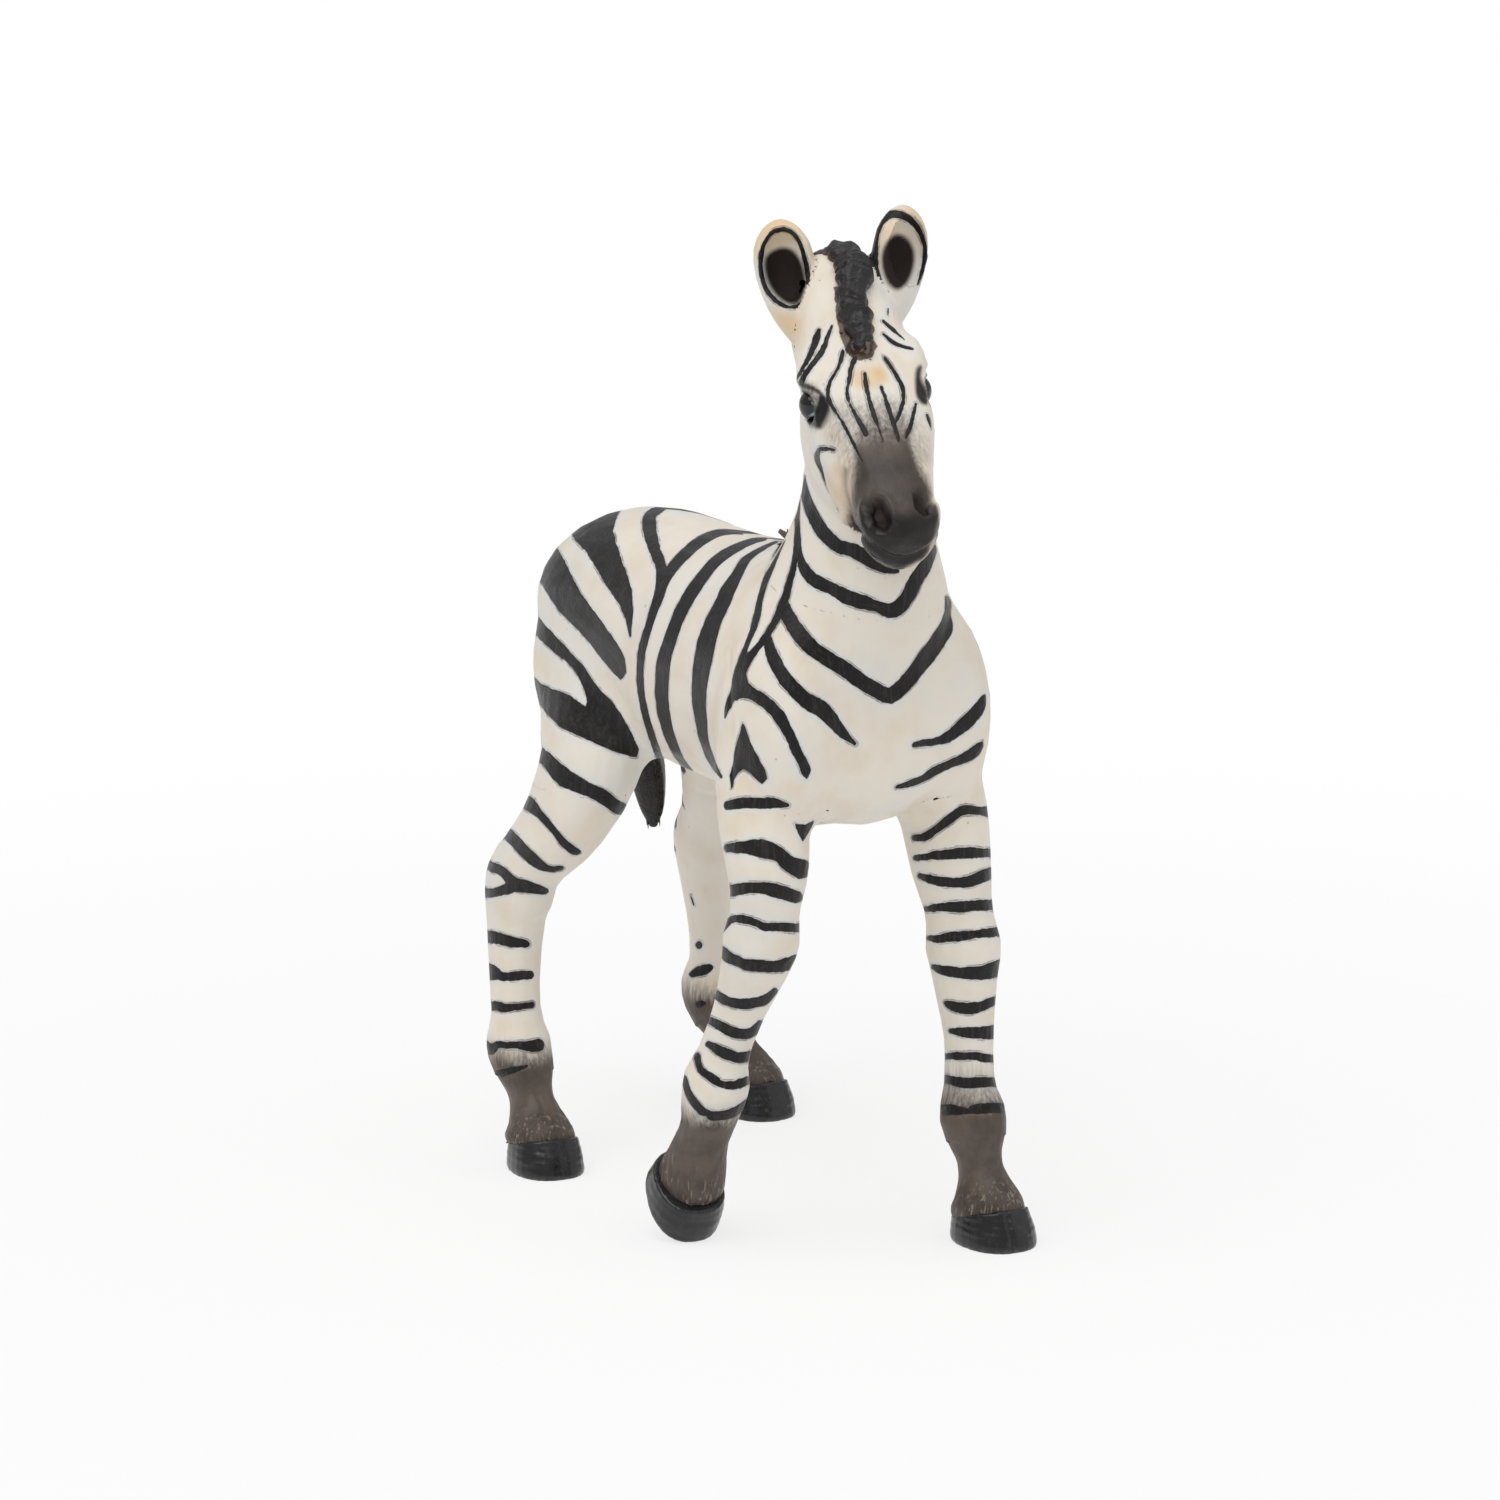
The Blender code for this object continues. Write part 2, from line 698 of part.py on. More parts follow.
def hoof_frame(leg):
    """The frame of a hoof: its origin is the middle of the sole, with -Y towards the toe."""
    aside, along = HOOF_PLACE_SHARES[leg]
    place = Matrix.Translation(body_point((aside, along, 0.0)))
    turned = place @ Matrix.Rotation(HOOF_TURNS[leg], 4, "Z")
    if leg != "front_right":
        return turned
    toe = Vector((0.0, -HOOF_LENGTH / 2, TOE_FLAT_DEPTH))
    to_toe = Matrix.Translation(toe)
    tipped = Matrix.Rotation(HOOF_TIP_ANGLE, 4, "X")
    return turned @ Matrix.Translation((0.0, 0.0, -TOE_FLAT_DEPTH)) @ to_toe @ tipped @ to_toe.inverted()


def coronet_frame(leg):
    """The frame of the step between pastern and hoof, sloping down to the heel."""
    raise_up = Matrix.Translation((0.0, 0.0, HOOF_HEIGHT * CORONET_HEIGHT_SHARE))
    return hoof_frame(leg) @ raise_up @ Matrix.Rotation(-CORONET_SLOPE, 4, "X")


def leg_cutter(name, leg, grow, collection):
    """The space of one leg: outside the chest seam, below the upper seam."""
    front = leg.startswith("front")
    sign = 1.0 if leg.endswith("left") else -1.0
    top = (FRONT_SEAM_HEIGHT if front else HIND_SEAM_HEIGHT) + grow
    inner = (CHEST_SEAM_HALF_WIDTH if front else GAP) - grow
    outer = STANCE_HALF_WIDTH * 2
    back = BODY_LENGTH * (FRONT_LEG_BACK_SHARE if front else 1.0)
    ahead = BODY_LENGTH * (-1.0 if front else HIND_LEG_AHEAD_SHARE)
    low = Vector((min(sign * inner, sign * outer), ahead - grow, -WITHERS_HEIGHT))
    high = Vector((max(sign * inner, sign * outer), back + grow, top))
    lean = Matrix.Identity(4)
    if front:
        lean[1][2] = -FRONT_LEG_LEAN_SHARE
        lean[1][3] = FRONT_LEG_LEAN_SHARE * top
    return make_helper(box(name, low, high, lean, collection))


def leg_top(leg):
    """Where the middle of a leg crosses its upper seam, between the two stations around it."""
    height = FRONT_SEAM_HEIGHT if leg.startswith("front") else HIND_SEAM_HEIGHT
    stations = [body_point(place) for place in LEG_PLACES[leg]]
    for upper, lower in zip(stations, stations[1:]):
        if lower.z <= height:
            break
    share = (upper.z - height) / (upper.z - lower.z)
    return upper.lerp(lower, share)


def make_leg(leg, skin, collection, cutters):
    """One leg from its upper seam to the coronet, with a peg at each end."""
    made = copy_of(skin, leg + "_leg", collection)
    space = leg_cutter(leg + "_space", leg, -GAP / 2, cutters)
    boolean(made, space, "INTERSECT")
    frame = coronet_frame(leg)
    half = Vector((HOOF_WIDTH, HOOF_LENGTH, 0.0))
    above = box(
        leg + "_below_coronet",
        -half * CORONET_REACH_SHARE - Vector((0.0, 0.0, HOOF_HEIGHT * 3)),
        half * CORONET_REACH_SHARE + Vector((0.0, 0.0, GAP / 2)),
        frame,
        cutters,
    )
    boolean(made, make_helper(above), "DIFFERENCE")
    top = leg_top(leg)
    peg = cylinder(
        leg + "_peg",
        LEG_PEG_RADIUS,
        top - Vector((0.0, 0.0, OVERRUN)),
        top + Vector((0.0, 0.0, LEG_PEG_LENGTH)),
        cutters,
    )
    boolean(made, make_helper(peg), "UNION")
    foot = cylinder(
        leg + "_hoof_peg",
        HOOF_PEG_RADIUS,
        frame @ Vector((0.0, 0.0, OVERRUN)),
        frame @ Vector((0.0, 0.0, -HOOF_PEG_LENGTH)),
        cutters,
        sides=HOOF_PEG_SIDES,
    )
    boolean(made, make_helper(foot), "UNION")
    return made


def make_hoof(leg, collection, cutters):
    """A hoof wall cut at the coronet, with a socket for the leg's peg and a flat where it stands."""
    rows = []
    for up, wide, long, back in HOOF_RING_SHARES:
        half = long * HOOF_LENGTH
        rows.append((0.0, back * HOOF_LENGTH, up * HOOF_HEIGHT, wide * HOOF_WIDTH, half, half))
    ahead = Vector((0.0, -1.0, 0.0))
    made = loft(leg + "_hoof", rows, ahead, collection, HOOF_SIDES, HOOF_SQUARENESS, level=True)
    made.data.transform(hoof_frame(leg))
    frame = coronet_frame(leg)
    half = Vector((HOOF_WIDTH, HOOF_LENGTH, 0.0))
    above = box(
        leg + "_above_coronet",
        -half * CORONET_REACH_SHARE - Vector((0.0, 0.0, GAP / 2)),
        half * CORONET_REACH_SHARE + Vector((0.0, 0.0, HOOF_HEIGHT * 3)),
        frame,
        cutters,
    )
    boolean(made, make_helper(above), "DIFFERENCE")
    socket = cylinder(
        leg + "_hoof_socket",
        HOOF_PEG_RADIUS + GAP,
        frame @ Vector((0.0, 0.0, OVERRUN)),
        frame @ Vector((0.0, 0.0, -HOOF_PEG_LENGTH - GAP)),
        cutters,
        sides=HOOF_PEG_SIDES,
    )
    boolean(made, make_helper(socket), "DIFFERENCE")
    if leg == "front_right":
        middle = body_point((*HOOF_PLACE_SHARES[leg], 0.0))
        spread = Vector((HOOF_LENGTH * 2, HOOF_LENGTH * 2, 0.0))
        ground = box(
            leg + "_ground",
            middle - spread - Vector((0.0, 0.0, HOOF_HEIGHT)),
            middle + spread,
            Matrix.Identity(4),
            cutters,
        )
        boolean(made, make_helper(ground), "DIFFERENCE")
    return made


def neck_seam():
    """The frame of the seam between torso and neck, with +Z up the neck."""
    withers = crest_point(WITHERS_SEAM_SHARES)
    breast = crest_point(BREAST_SEAM_SHARES)
    slope = (withers - breast).normalized()
    up = Vector((1.0, 0.0, 0.0)).cross(slope)
    return seam_frame((withers + breast) / 2, up)


def neck_space(name, grow, collection):
    """Everything above the neck seam."""
    half = Vector((BODY_WIDTH * 2, BODY_LENGTH * 2, 0.0))
    low = -half - Vector((0.0, 0.0, grow))
    high = half + Vector((0.0, 0.0, WITHERS_HEIGHT))
    return make_helper(box(name, low, high, neck_seam(), collection))


def mane_shape(name, tree, grow, collection):
    """The ridge of the mane laid along the crest of the skin, with lumps for its tufts."""
    rows = []
    for aside, along, up, wide, high in MANE_SHARES:
        near, outward = tree.find_nearest(crest_point((aside, along, up)))[0:2]
        rows.append((*near, wide * MANE_THICKNESS, high * MANE_HEIGHT, MANE_SUNK, *outward))
    rows = between(rows, MANE_STEPS)
    last = len(rows) - 1
    shaped = []
    for index, row in enumerate(rows):
        lump = 1.0 + MANE_TUFT_SHARE * math.cos(math.tau * MANE_TUFTS * index / last)
        shaped.append([Vector(row[0:3]), row[3] * lump + grow, row[4] * lump + grow, row[5] + grow])
    for end, inner in ((0, 1), (last, last - 1)):
        outward = (shaped[end][0] - shaped[inner][0]).normalized()
        shaped[end][0] = shaped[end][0] + outward * grow
    flat = [(*row[0], *row[1:]) for row in shaped]
    return loft(name, flat, [Vector(row[6:9]) for row in rows], collection, sides=MANE_SIDES)


def cut_seat(piece, shape):
    """Cut the grown shape of a neighbour out of a piece."""
    boolean(piece, make_helper(shape), "DIFFERENCE")


def torso_piece(skin, tree, collection, cutters):
    """The torso with its sockets for neck, legs and tail and its recess for the pad."""
    made = copy_of(skin, "torso", collection)
    cut_seat(made, neck_space("neck_cut", GAP / 2, cutters))
    for leg in HOOF_PLACE_SHARES:
        cut_seat(made, leg_cutter(leg + "_cut", leg, GAP / 2, cutters))
        top = leg_top(leg)
        start = top - Vector((0.0, 0.0, OVERRUN))
        end = top + Vector((0.0, 0.0, LEG_PEG_LENGTH + GAP))
        cut_seat(made, cylinder(leg + "_socket", LEG_PEG_RADIUS + GAP, start, end, cutters))
    frame = neck_seam()
    start = frame @ Vector((0.0, 0.0, OVERRUN))
    end = frame @ Vector((0.0, 0.0, -NECK_PEG_LENGTH - GAP))
    cut_seat(made, cylinder("neck_socket", NECK_PEG_RADIUS + GAP, start, end, cutters))
    cut_seat(made, mane_shape("mane_on_torso", tree, GAP, cutters))
    cut_seat(made, tail_shape("tail_socket", tree, GAP, cutters))
    cut_seat(made, pad_shape("pad_recess", tree, GAP, cutters))
    return made


def head_piece(skin, tree, collection, cutters):
    """The head and neck, with a peg for the torso and seats for eyes, ears and mane."""
    made = copy_of(skin, "head_and_neck", collection)
    boolean(made, neck_space("neck_keep", -GAP / 2, cutters), "INTERSECT")
    frame = neck_seam()
    start = frame @ Vector((0.0, 0.0, OVERRUN))
    end = frame @ Vector((0.0, 0.0, -NECK_PEG_LENGTH))
    peg = cylinder("neck_peg", NECK_PEG_RADIUS, start, end, cutters)
    boolean(made, make_helper(peg), "UNION")
    for name, side in SIDES:
        cut_seat(made, eye_shape(name + "_eye_socket", tree, side, GAP, cutters))
        cut_seat(made, ear_shape(name + "_ear_socket", tree, side, GAP, cutters))
    cut_seat(made, mane_shape("mane_groove", tree, GAP, cutters))
    return made


def eye_shape(name, tree, side, grow, collection):
    """An eyeball that stands a little proud of the side of the head."""
    turn = head_turn()
    outward = (turn.col[0] * side + turn.col[1] * EYE_AHEAD_SHARE).normalized()
    surface = out_to_skin(tree, head_point(EYE_PLACE_SHARES), outward)
    centre = surface + outward * (EYE_PROUD - EYE_RADIUS)
    bm = bmesh.new()
    bmesh.ops.create_uvsphere(bm, u_segments=EYE_SIDES, v_segments=EYE_SIDES // 2, radius=EYE_RADIUS + grow)
    bmesh.ops.transform(bm, matrix=Matrix.Translation(centre), verts=bm.verts)
    return mesh_object(name, bm, collection)


def ear_frame(tree, side):
    """The frame where an ear leaves the skin: +Z to its tip, -Y the way its cup faces."""
    turn = head_turn()
    outward = (turn.col[0] * side + turn.col[2] * EAR_RISE_SHARE).normalized()
    surface = out_to_skin(tree, head_point(EAR_PLACE_SHARES), outward)
    turned = (
        Matrix.Rotation(HEAD_YAW + side * EAR_TURN, 4, "Z")
        @ Matrix.Rotation(side * EAR_LEAN, 4, "Y")
        @ Matrix.Rotation(EAR_BACK_TILT, 4, "X")
    )
    return Matrix.Translation(surface) @ turned


def ear_shape(name, tree, side, grow, collection):
    """An ear: a leaf on a root that bends into the head, with a hollow scooped out of its front."""
    frame = ear_frame(tree, side)
    rows = []
    for up, wide, deep, inward in EAR_RING_SHARES:
        half = deep * EAR_DEPTH + grow
        rows.append((-side * inward * EAR_WIDTH, 0.0, up * EAR_HEIGHT, wide * EAR_WIDTH + grow, half, half))
    rows = between(rows, EAR_STEPS)
    root, above = Vector(rows[0][0:3]), Vector(rows[1][0:3])
    rows[0][0:3] = root + (root - above).normalized() * grow
    made = loft(name, rows, Vector((0.0, -1.0, 0.0)), collection, sides=EAR_SIDES)
    made.data.transform(frame)
    if grow > 0.0:
        return made
    up, ahead = EAR_SCOOP_PLACE_SHARES
    wide, deep, high = EAR_SCOOP_SIZE_SHARES
    centre = frame @ Vector((0.0, -ahead * EAR_DEPTH, up * EAR_HEIGHT))
    half = (wide * EAR_WIDTH, deep * EAR_DEPTH, high * EAR_HEIGHT)
    scoop = ellipsoid(name + "_scoop", centre, half, frame.to_3x3(), collection, EAR_SIDES)
    boolean(made, scoop, "DIFFERENCE")
    bpy.data.objects.remove(scoop, do_unlink=True)
    return made


def tail_shape(name, tree, grow, collection):
    """The tail from its root inside the rump to the tip of its tuft."""
    dock = crest_point(TAIL_SHARES[1][0:3])
    inward = crest_point(TAIL_SHARES[0][0:3]) - dock
    surface = tree.find_nearest(dock)[0]
    root = surface + inward.normalized() * (TAIL_SUNK + grow)
    rows = [(*root, *(TAIL_SHARES[0][3] * TAIL_THICKNESS + grow,) * 3)]
    for aside, along, up, size in TAIL_SHARES[1:]:
        rows.append((*crest_point((aside, along, up)), *(size * TAIL_THICKNESS + grow,) * 3))
    return loft(name, between(rows, TAIL_STEPS), TAIL_FRONT, collection, sides=TAIL_SIDES)


def pad_shape(name, tree, grow, collection):
    """The plain raised pad under the belly, with rounded corners."""
    middle = crest_point((0.0, PAD_PLACE_SHARE, BODY_SHARES[3][1]))
    belly = out_to_skin(tree, middle, Vector((0.0, 0.0, -1.0)))
    centre = belly + Vector((0.0, 0.0, PAD_THICKNESS / 2 - PAD_PROUD))
    size = Vector((PAD_WIDTH, PAD_LENGTH, PAD_THICKNESS)) + Vector((grow, grow, grow)) * 2
    made = box(name, centre - size / 2, centre + size / 2, Matrix.Identity(4), collection)
    corners = made.modifiers.new("corners", "BEVEL")
    corners.width = PAD_CORNER_RADIUS
    corners.segments = PAD_CORNER_STEPS
    apply_modifiers(made)
    return made


def finish(item, finish_name):
    """Give a piece its material and smooth faces with sharp seams."""
    item.data.materials.clear()
    item.data.materials.append(new_material(item.name, finish_name))
    item.data.shade_smooth()
    item.data.set_sharp_from_angle(angle=SHARP_ANGLE)
    return item


def stand_at_origin(figure, pieces):
    """Move the figure so that the middle of its base is the origin."""
    corners = [item.matrix_world @ vertex.co for item in pieces for vertex in item.data.vertices]
    low = Vector([min(corner[axis] for corner in corners) for axis in range(3)])
    high = Vector([max(corner[axis] for corner in corners) for axis in range(3)])
    figure.location = -Vector(((low.x + high.x) / 2, (low.y + high.y) / 2, low.z))


def main():
    """Build every piece of the figure and stand it at the origin."""
    clear_scene()
    pieces = new_collection("zebra_foal_figure")
    cutters = new_collection("cutters")
    skin = blended_skin(cutters)
    tree = tree_of(skin)
    made = [
        finish(torso_piece(skin, tree, pieces, cutters), "coat_white"),
        finish(head_piece(skin, tree, pieces, cutters), "coat_white"),
        finish(mane_shape("mane", tree, 0.0, pieces), "mane_black"),
        finish(tail_shape("tail", tree, 0.0, pieces), "mane_black"),
        finish(pad_shape("belly_pad", tree, 0.0, pieces), "coat_white"),
    ]
    for leg in HOOF_PLACE_SHARES:
        made.append(finish(make_leg(leg, skin, pieces, cutters), "coat_white"))
        made.append(finish(make_hoof(leg, pieces, cutters), "hoof_black"))
    for name, side in SIDES:
        made.append(finish(ear_shape(name + "_ear", tree, side, 0.0, pieces), "coat_white"))
        made.append(finish(eye_shape(name + "_eye", tree, side, 0.0, pieces), "eye_black"))
    figure = bpy.data.objects.new("figure", None)
    pieces.objects.link(figure)
    for item in made:
        item.parent = figure
    stand_at_origin(figure, made)


main()
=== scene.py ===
"""A toy zebra foal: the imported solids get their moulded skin, painted stripes, hair and gloss."""
import logging
import math
from dataclasses import dataclass, field
from enum import Enum
from typing import Any, Iterable, Sequence

import bmesh
import bpy
import numpy as np
from mathutils import Matrix, Vector
from mathutils.bvhtree import BVHTree


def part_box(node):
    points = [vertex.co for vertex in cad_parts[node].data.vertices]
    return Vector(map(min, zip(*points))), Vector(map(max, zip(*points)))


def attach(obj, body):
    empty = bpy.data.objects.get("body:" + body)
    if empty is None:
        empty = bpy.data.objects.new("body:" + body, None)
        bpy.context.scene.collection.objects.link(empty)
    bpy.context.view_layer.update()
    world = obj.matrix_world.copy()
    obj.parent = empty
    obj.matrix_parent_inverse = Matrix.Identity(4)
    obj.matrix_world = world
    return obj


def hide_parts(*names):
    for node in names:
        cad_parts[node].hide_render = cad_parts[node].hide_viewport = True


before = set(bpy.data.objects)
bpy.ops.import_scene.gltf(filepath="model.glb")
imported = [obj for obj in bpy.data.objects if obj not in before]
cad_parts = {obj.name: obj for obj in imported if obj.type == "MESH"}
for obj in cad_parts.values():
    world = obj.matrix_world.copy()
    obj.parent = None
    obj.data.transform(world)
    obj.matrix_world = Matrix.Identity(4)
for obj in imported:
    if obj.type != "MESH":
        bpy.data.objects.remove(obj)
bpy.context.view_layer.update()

MM = 0.001
BODY = "root"
FAR = 9.0
NEVER = 999.0
MIRROR = np.array((-1.0, 1.0, 1.0))
log = logging.getLogger("foal")

Marks = tuple[tuple[float, ...], ...]


class Slot(Enum):
    """The four kinds of finish, by name."""

    COAT = "coat"
    HOOF = "hoof"
    MANE = "mane"
    EYE = "eye"


class Leg(Enum):
    """The four legs, by the names of their nodes."""

    FRONT_LEFT = "front_left"
    FRONT_RIGHT = "front_right"
    HIND_LEFT = "hind_left"
    HIND_RIGHT = "hind_right"


LEG_NODES = tuple(f"{leg.value}_leg" for leg in Leg)
SKIN_NODES = ("torso", "head_and_neck", "left_ear", "right_ear") + LEG_NODES
FILLER_NODES = ("mane", "belly_pad", "left_eye", "right_eye")


def paint_colour(red: float, green: float, blue: float) -> tuple[float, float, float, float]:
    """A colour as a screen shows it, from 0 to 255, made linear for a shader.

    Args:
        red: the red part.
        green: the green part.
        blue: the blue part.

    Returns:
        The linear colour with full alpha.
    """
    parts = []
    for part in (red, green, blue):
        share = part / 255.0
        parts.append(share / 12.92 if share <= 0.04045 else ((share + 0.055) / 1.055) ** 2.4)
    return (parts[0], parts[1], parts[2], 1.0)


# The stripes below are places on the photograph, in its pixels, each with the paint's width there.
RUMP_STROKES: tuple[Marks, ...] = (
    ((664, 508, 2), (653, 513, 8), (649, 522, 12), (651, 537, 11), (656, 553, 10), (661, 566, 9),
     (662, 580, 10), (660, 592, 9), (655, 606, 7), (650, 622, 6), (645, 638, 6), (641, 655, 6),
     (640, 675, 5), (641, 692, 5), (644, 708, 5), (648, 724, 5), (653, 740, 5), (659, 756, 5),
     (664, 766, 3), (672, 775, 1)),
    ((743, 533, 1), (731, 532, 3), (719, 533, 5), (708, 537, 7), (695, 545, 9), (683, 556, 9),
     (673, 567, 9), (665, 579, 9), (660, 591, 8)),
    ((765, 539, 1), (753, 541, 4), (740, 546, 6), (727, 553, 8), (714, 563, 9), (703, 576, 10),
     (694, 589, 11), (687, 600, 11), (678, 618, 11), (670, 640, 11), (664, 660, 12), (662, 680, 12),
     (662, 700, 11), (665, 720, 10), (671, 740, 8), (681, 760, 5), (697, 779, 1)),
    ((776, 542, 1), (765, 547, 2), (753, 554, 4), (744, 562, 7), (737, 575, 9), (728, 590, 12),
     (723, 602, 13), (714, 620, 14), (707, 640, 16), (703, 660, 16), (700, 680, 14), (699, 700, 12),
     (701, 720, 10), (704, 740, 7), (711, 760, 5), (721, 777, 1)),
    ((783, 541, 2), (776, 556, 3), (770, 570, 4), (764, 585, 4), (760, 600, 4), (757, 615, 5),
     (753, 630, 4), (748, 642, 3), (744, 652, 3), (741, 660, 3)),
)
NECK_STROKES: tuple[Marks, ...] = (
    ((799, 480, 2), (798, 510, 2), (796, 545, 3), (794, 565, 4), (790, 580, 5), (786, 595, 6),
     (780, 610, 6), (773, 625, 5), (766, 636, 5), (758, 647, 5), (750, 657, 6), (744, 666, 7)),
    ((768, 640, 8), (771, 652, 10), (777, 666, 11), (786, 680, 12), (797, 692, 12), (808, 702, 14),
     (820, 708, 15), (832, 720, 12), (843, 733, 8), (855, 744, 1)),
    ((784, 603, 8), (788, 616, 12), (797, 631, 13), (809, 645, 14), (822, 655, 13), (836, 664, 13),
     (850, 673, 13), (864, 683, 13), (878, 691, 13), (890, 696, 14), (902, 687, 13), (913, 674, 13),
     (924, 660, 14), (935, 645, 14), (946, 628, 13), (950, 613, 10), (947, 598, 2)),
    ((797, 520, 3), (798, 540, 4), (800, 556, 5), (805, 570, 9), (814, 580, 11), (826, 586, 10),
     (838, 592, 11), (850, 598, 13), (862, 602, 12), (876, 606, 9), (890, 611, 13), (900, 606, 13),
     (909, 594, 12), (916, 580, 12), (924, 568, 11), (931, 556, 7), (935, 547, 2)),
    ((801, 458, 2), (802, 475, 4), (804, 490, 7), (809, 506, 9), (816, 521, 11), (826, 536, 12),
     (838, 546, 11), (850, 549, 12), (862, 555, 13), (874, 562, 12), (886, 568, 9), (897, 571, 3)),
    ((914, 745, 3), (922, 743, 5), (934, 742, 6), (948, 737, 9), (960, 728, 11), (971, 718, 12),
     (981, 706, 10), (987, 694, 6), (986, 681, 1)),
    ((897, 787, 2), (905, 785, 4), (922, 779, 5), (935, 771, 7), (950, 764, 6), (965, 758, 8),
     (978, 750, 10), (988, 742, 8), (995, 732, 4), (996, 722, 1)),
    ((982, 783, 1), (986, 775, 2)),
)
FRONT_LEFT_STROKES: tuple[Marks, ...] = (
    ((915, 838, 5), (925, 837, 6), (938, 828, 6), (950, 819, 7), (962, 811, 8), (975, 810, 8),
     (992, 812, 9)),
    ((916, 858, 4), (925, 857, 5), (938, 855, 7), (952, 854, 9), (965, 853, 9), (978, 853, 8),
     (992, 853, 7)),
    ((920, 876, 4), (930, 879, 7), (942, 882, 8), (955, 883, 8), (968, 882, 9), (978, 879, 10),
     (990, 873, 9)),
    ((926, 909, 3), (935, 908, 6), (948, 907, 8), (960, 907, 9), (972, 906, 9), (994, 905, 9)),
    ((928, 938, 3), (938, 939, 6), (950, 937, 8), (962, 936, 8), (975, 934, 7), (986, 933, 7),
     (1003, 931, 7)),
    ((934, 967, 4), (942, 970, 7), (955, 972, 9), (968, 973, 11), (980, 973, 12), (990, 971, 14),
     (1001, 967, 14)),
    ((946, 1003, 3), (952, 1006, 8), (962, 1008, 9), (972, 1008, 9), (982, 1006, 8),
     (996, 1000, 6)),
    ((951, 1031, 4), (960, 1032, 7), (970, 1033, 9), (980, 1033, 10), (997, 1032, 13)),
    ((940, 1057, 4), (955, 1056, 6), (965, 1056, 6), (975, 1056, 7), (985, 1058, 7),
     (1000, 1059, 6)),
    ((936, 1078, 6), (950, 1080, 7), (962, 1083, 9), (972, 1083, 9), (985, 1082, 9),
     (1004, 1083, 7)),
    ((934, 1110, 9), (950, 1110, 9), (960, 1111, 7), (968, 1111, 4), (975, 1109, 8), (988, 1108, 9),
     (1007, 1108, 7)),
)
FRONT_RIGHT_STROKES: tuple[Marks, ...] = (
    ((728, 805, 7), (740, 803, 9), (750, 803, 9), (760, 803, 9), (770, 803, 9), (780, 804, 6),
     (788, 805, 2)),
    ((728, 848, 6), (745, 847, 11), (757, 848, 15), (768, 850, 16), (780, 855, 12), (788, 863, 14),
     (801, 869, 18)),
    ((730, 891, 10), (745, 888, 10), (757, 888, 9), (768, 889, 11), (780, 892, 12), (797, 897, 10)),
    ((722, 930, 4), (731, 920, 5), (739, 919, 6), (747, 920, 6), (756, 923, 6), (765, 927, 7),
     (780, 927, 7), (799, 928, 7)),
    ((714, 946, 8), (720, 950, 8), (728, 957, 9), (738, 961, 9), (750, 965, 10), (762, 966, 10),
     (775, 967, 10), (788, 964, 11), (796, 960, 9)),
    ((711, 989, 4), (720, 997, 7), (730, 1002, 8), (742, 1004, 9), (755, 1003, 9), (765, 1000, 8),
     (775, 991, 4)),
    ((709, 1020, 6), (722, 1027, 8), (732, 1032, 9), (742, 1034, 9), (752, 1032, 8),
     (760, 1024, 6)),
    ((708, 1044, 4), (714, 1047, 7), (722, 1052, 9), (732, 1056, 9), (740, 1058, 9),
     (754, 1055, 8)),
    ((697, 1056, 5), (700, 1068, 5), (706, 1074, 6), (716, 1081, 7)),
    ((718, 1083, 4), (726, 1085, 6), (736, 1085, 7), (752, 1079, 6)),
    ((684, 1078, 4), (688, 1092, 5), (694, 1102, 6), (702, 1111, 7), (708, 1113, 5)),
    ((711, 1116, 8), (720, 1116, 8), (732, 1113, 8), (742, 1107, 6), (752, 1098, 4)),
)
HIND_RIGHT_STROKES: tuple[Marks, ...] = (
    ((524, 801, 12), (530, 805, 11), (538, 813, 7), (546, 821, 6), (555, 832, 5), (565, 844, 6),
     (574, 851, 6), (579, 852, 2)),
    ((500, 829, 10), (506, 833, 10), (516, 842, 10), (526, 853, 10), (537, 863, 9), (549, 869, 5),
     (561, 868, 3)),
    ((476, 856, 6), (483, 860, 6), (490, 866, 7), (500, 870, 8), (508, 877, 8), (514, 884, 12),
     (522, 886, 11), (533, 888, 9), (545, 891, 5)),
    ((474, 892, 11), (481, 892, 10), (490, 893, 8), (500, 891, 8), (510, 888, 9)),
    ((480, 937, 10), (488, 937, 10), (500, 939, 10), (512, 942, 9), (526, 944, 6)),
    ((484, 971, 14), (491, 972, 14), (498, 975, 8), (505, 977, 6), (518, 976, 7), (530, 975, 6)),
    ((482, 1006, 8), (495, 1006, 8), (505, 1008, 6), (515, 1007, 5), (525, 1006, 5),
     (531, 1005, 5)),
    ((482, 1044, 9), (491, 1050, 8), (497, 1045, 5), (508, 1045, 5), (518, 1045, 6), (528, 1046, 9),
     (538, 1045, 11)),
    ((494, 1075, 6), (506, 1072, 5), (516, 1069, 4), (527, 1066, 1)),
)
HIND_LEFT_STROKES: tuple[Marks, ...] = (
    ((681, 873, 3), (685, 879, 2)),
    ((690, 896, 3), (693, 905, 2)),
    ((730, 870, 3), (727, 876, 2)),
    ((728, 898, 4), (731, 908, 3)),
    ((690, 944, 9), (697, 945, 9)),
    ((688, 974, 8), (700, 971, 8), (708, 969, 9), (722, 965, 9)),
    ((698, 1005, 5), (708, 1003, 7), (722, 1002, 9)),
)
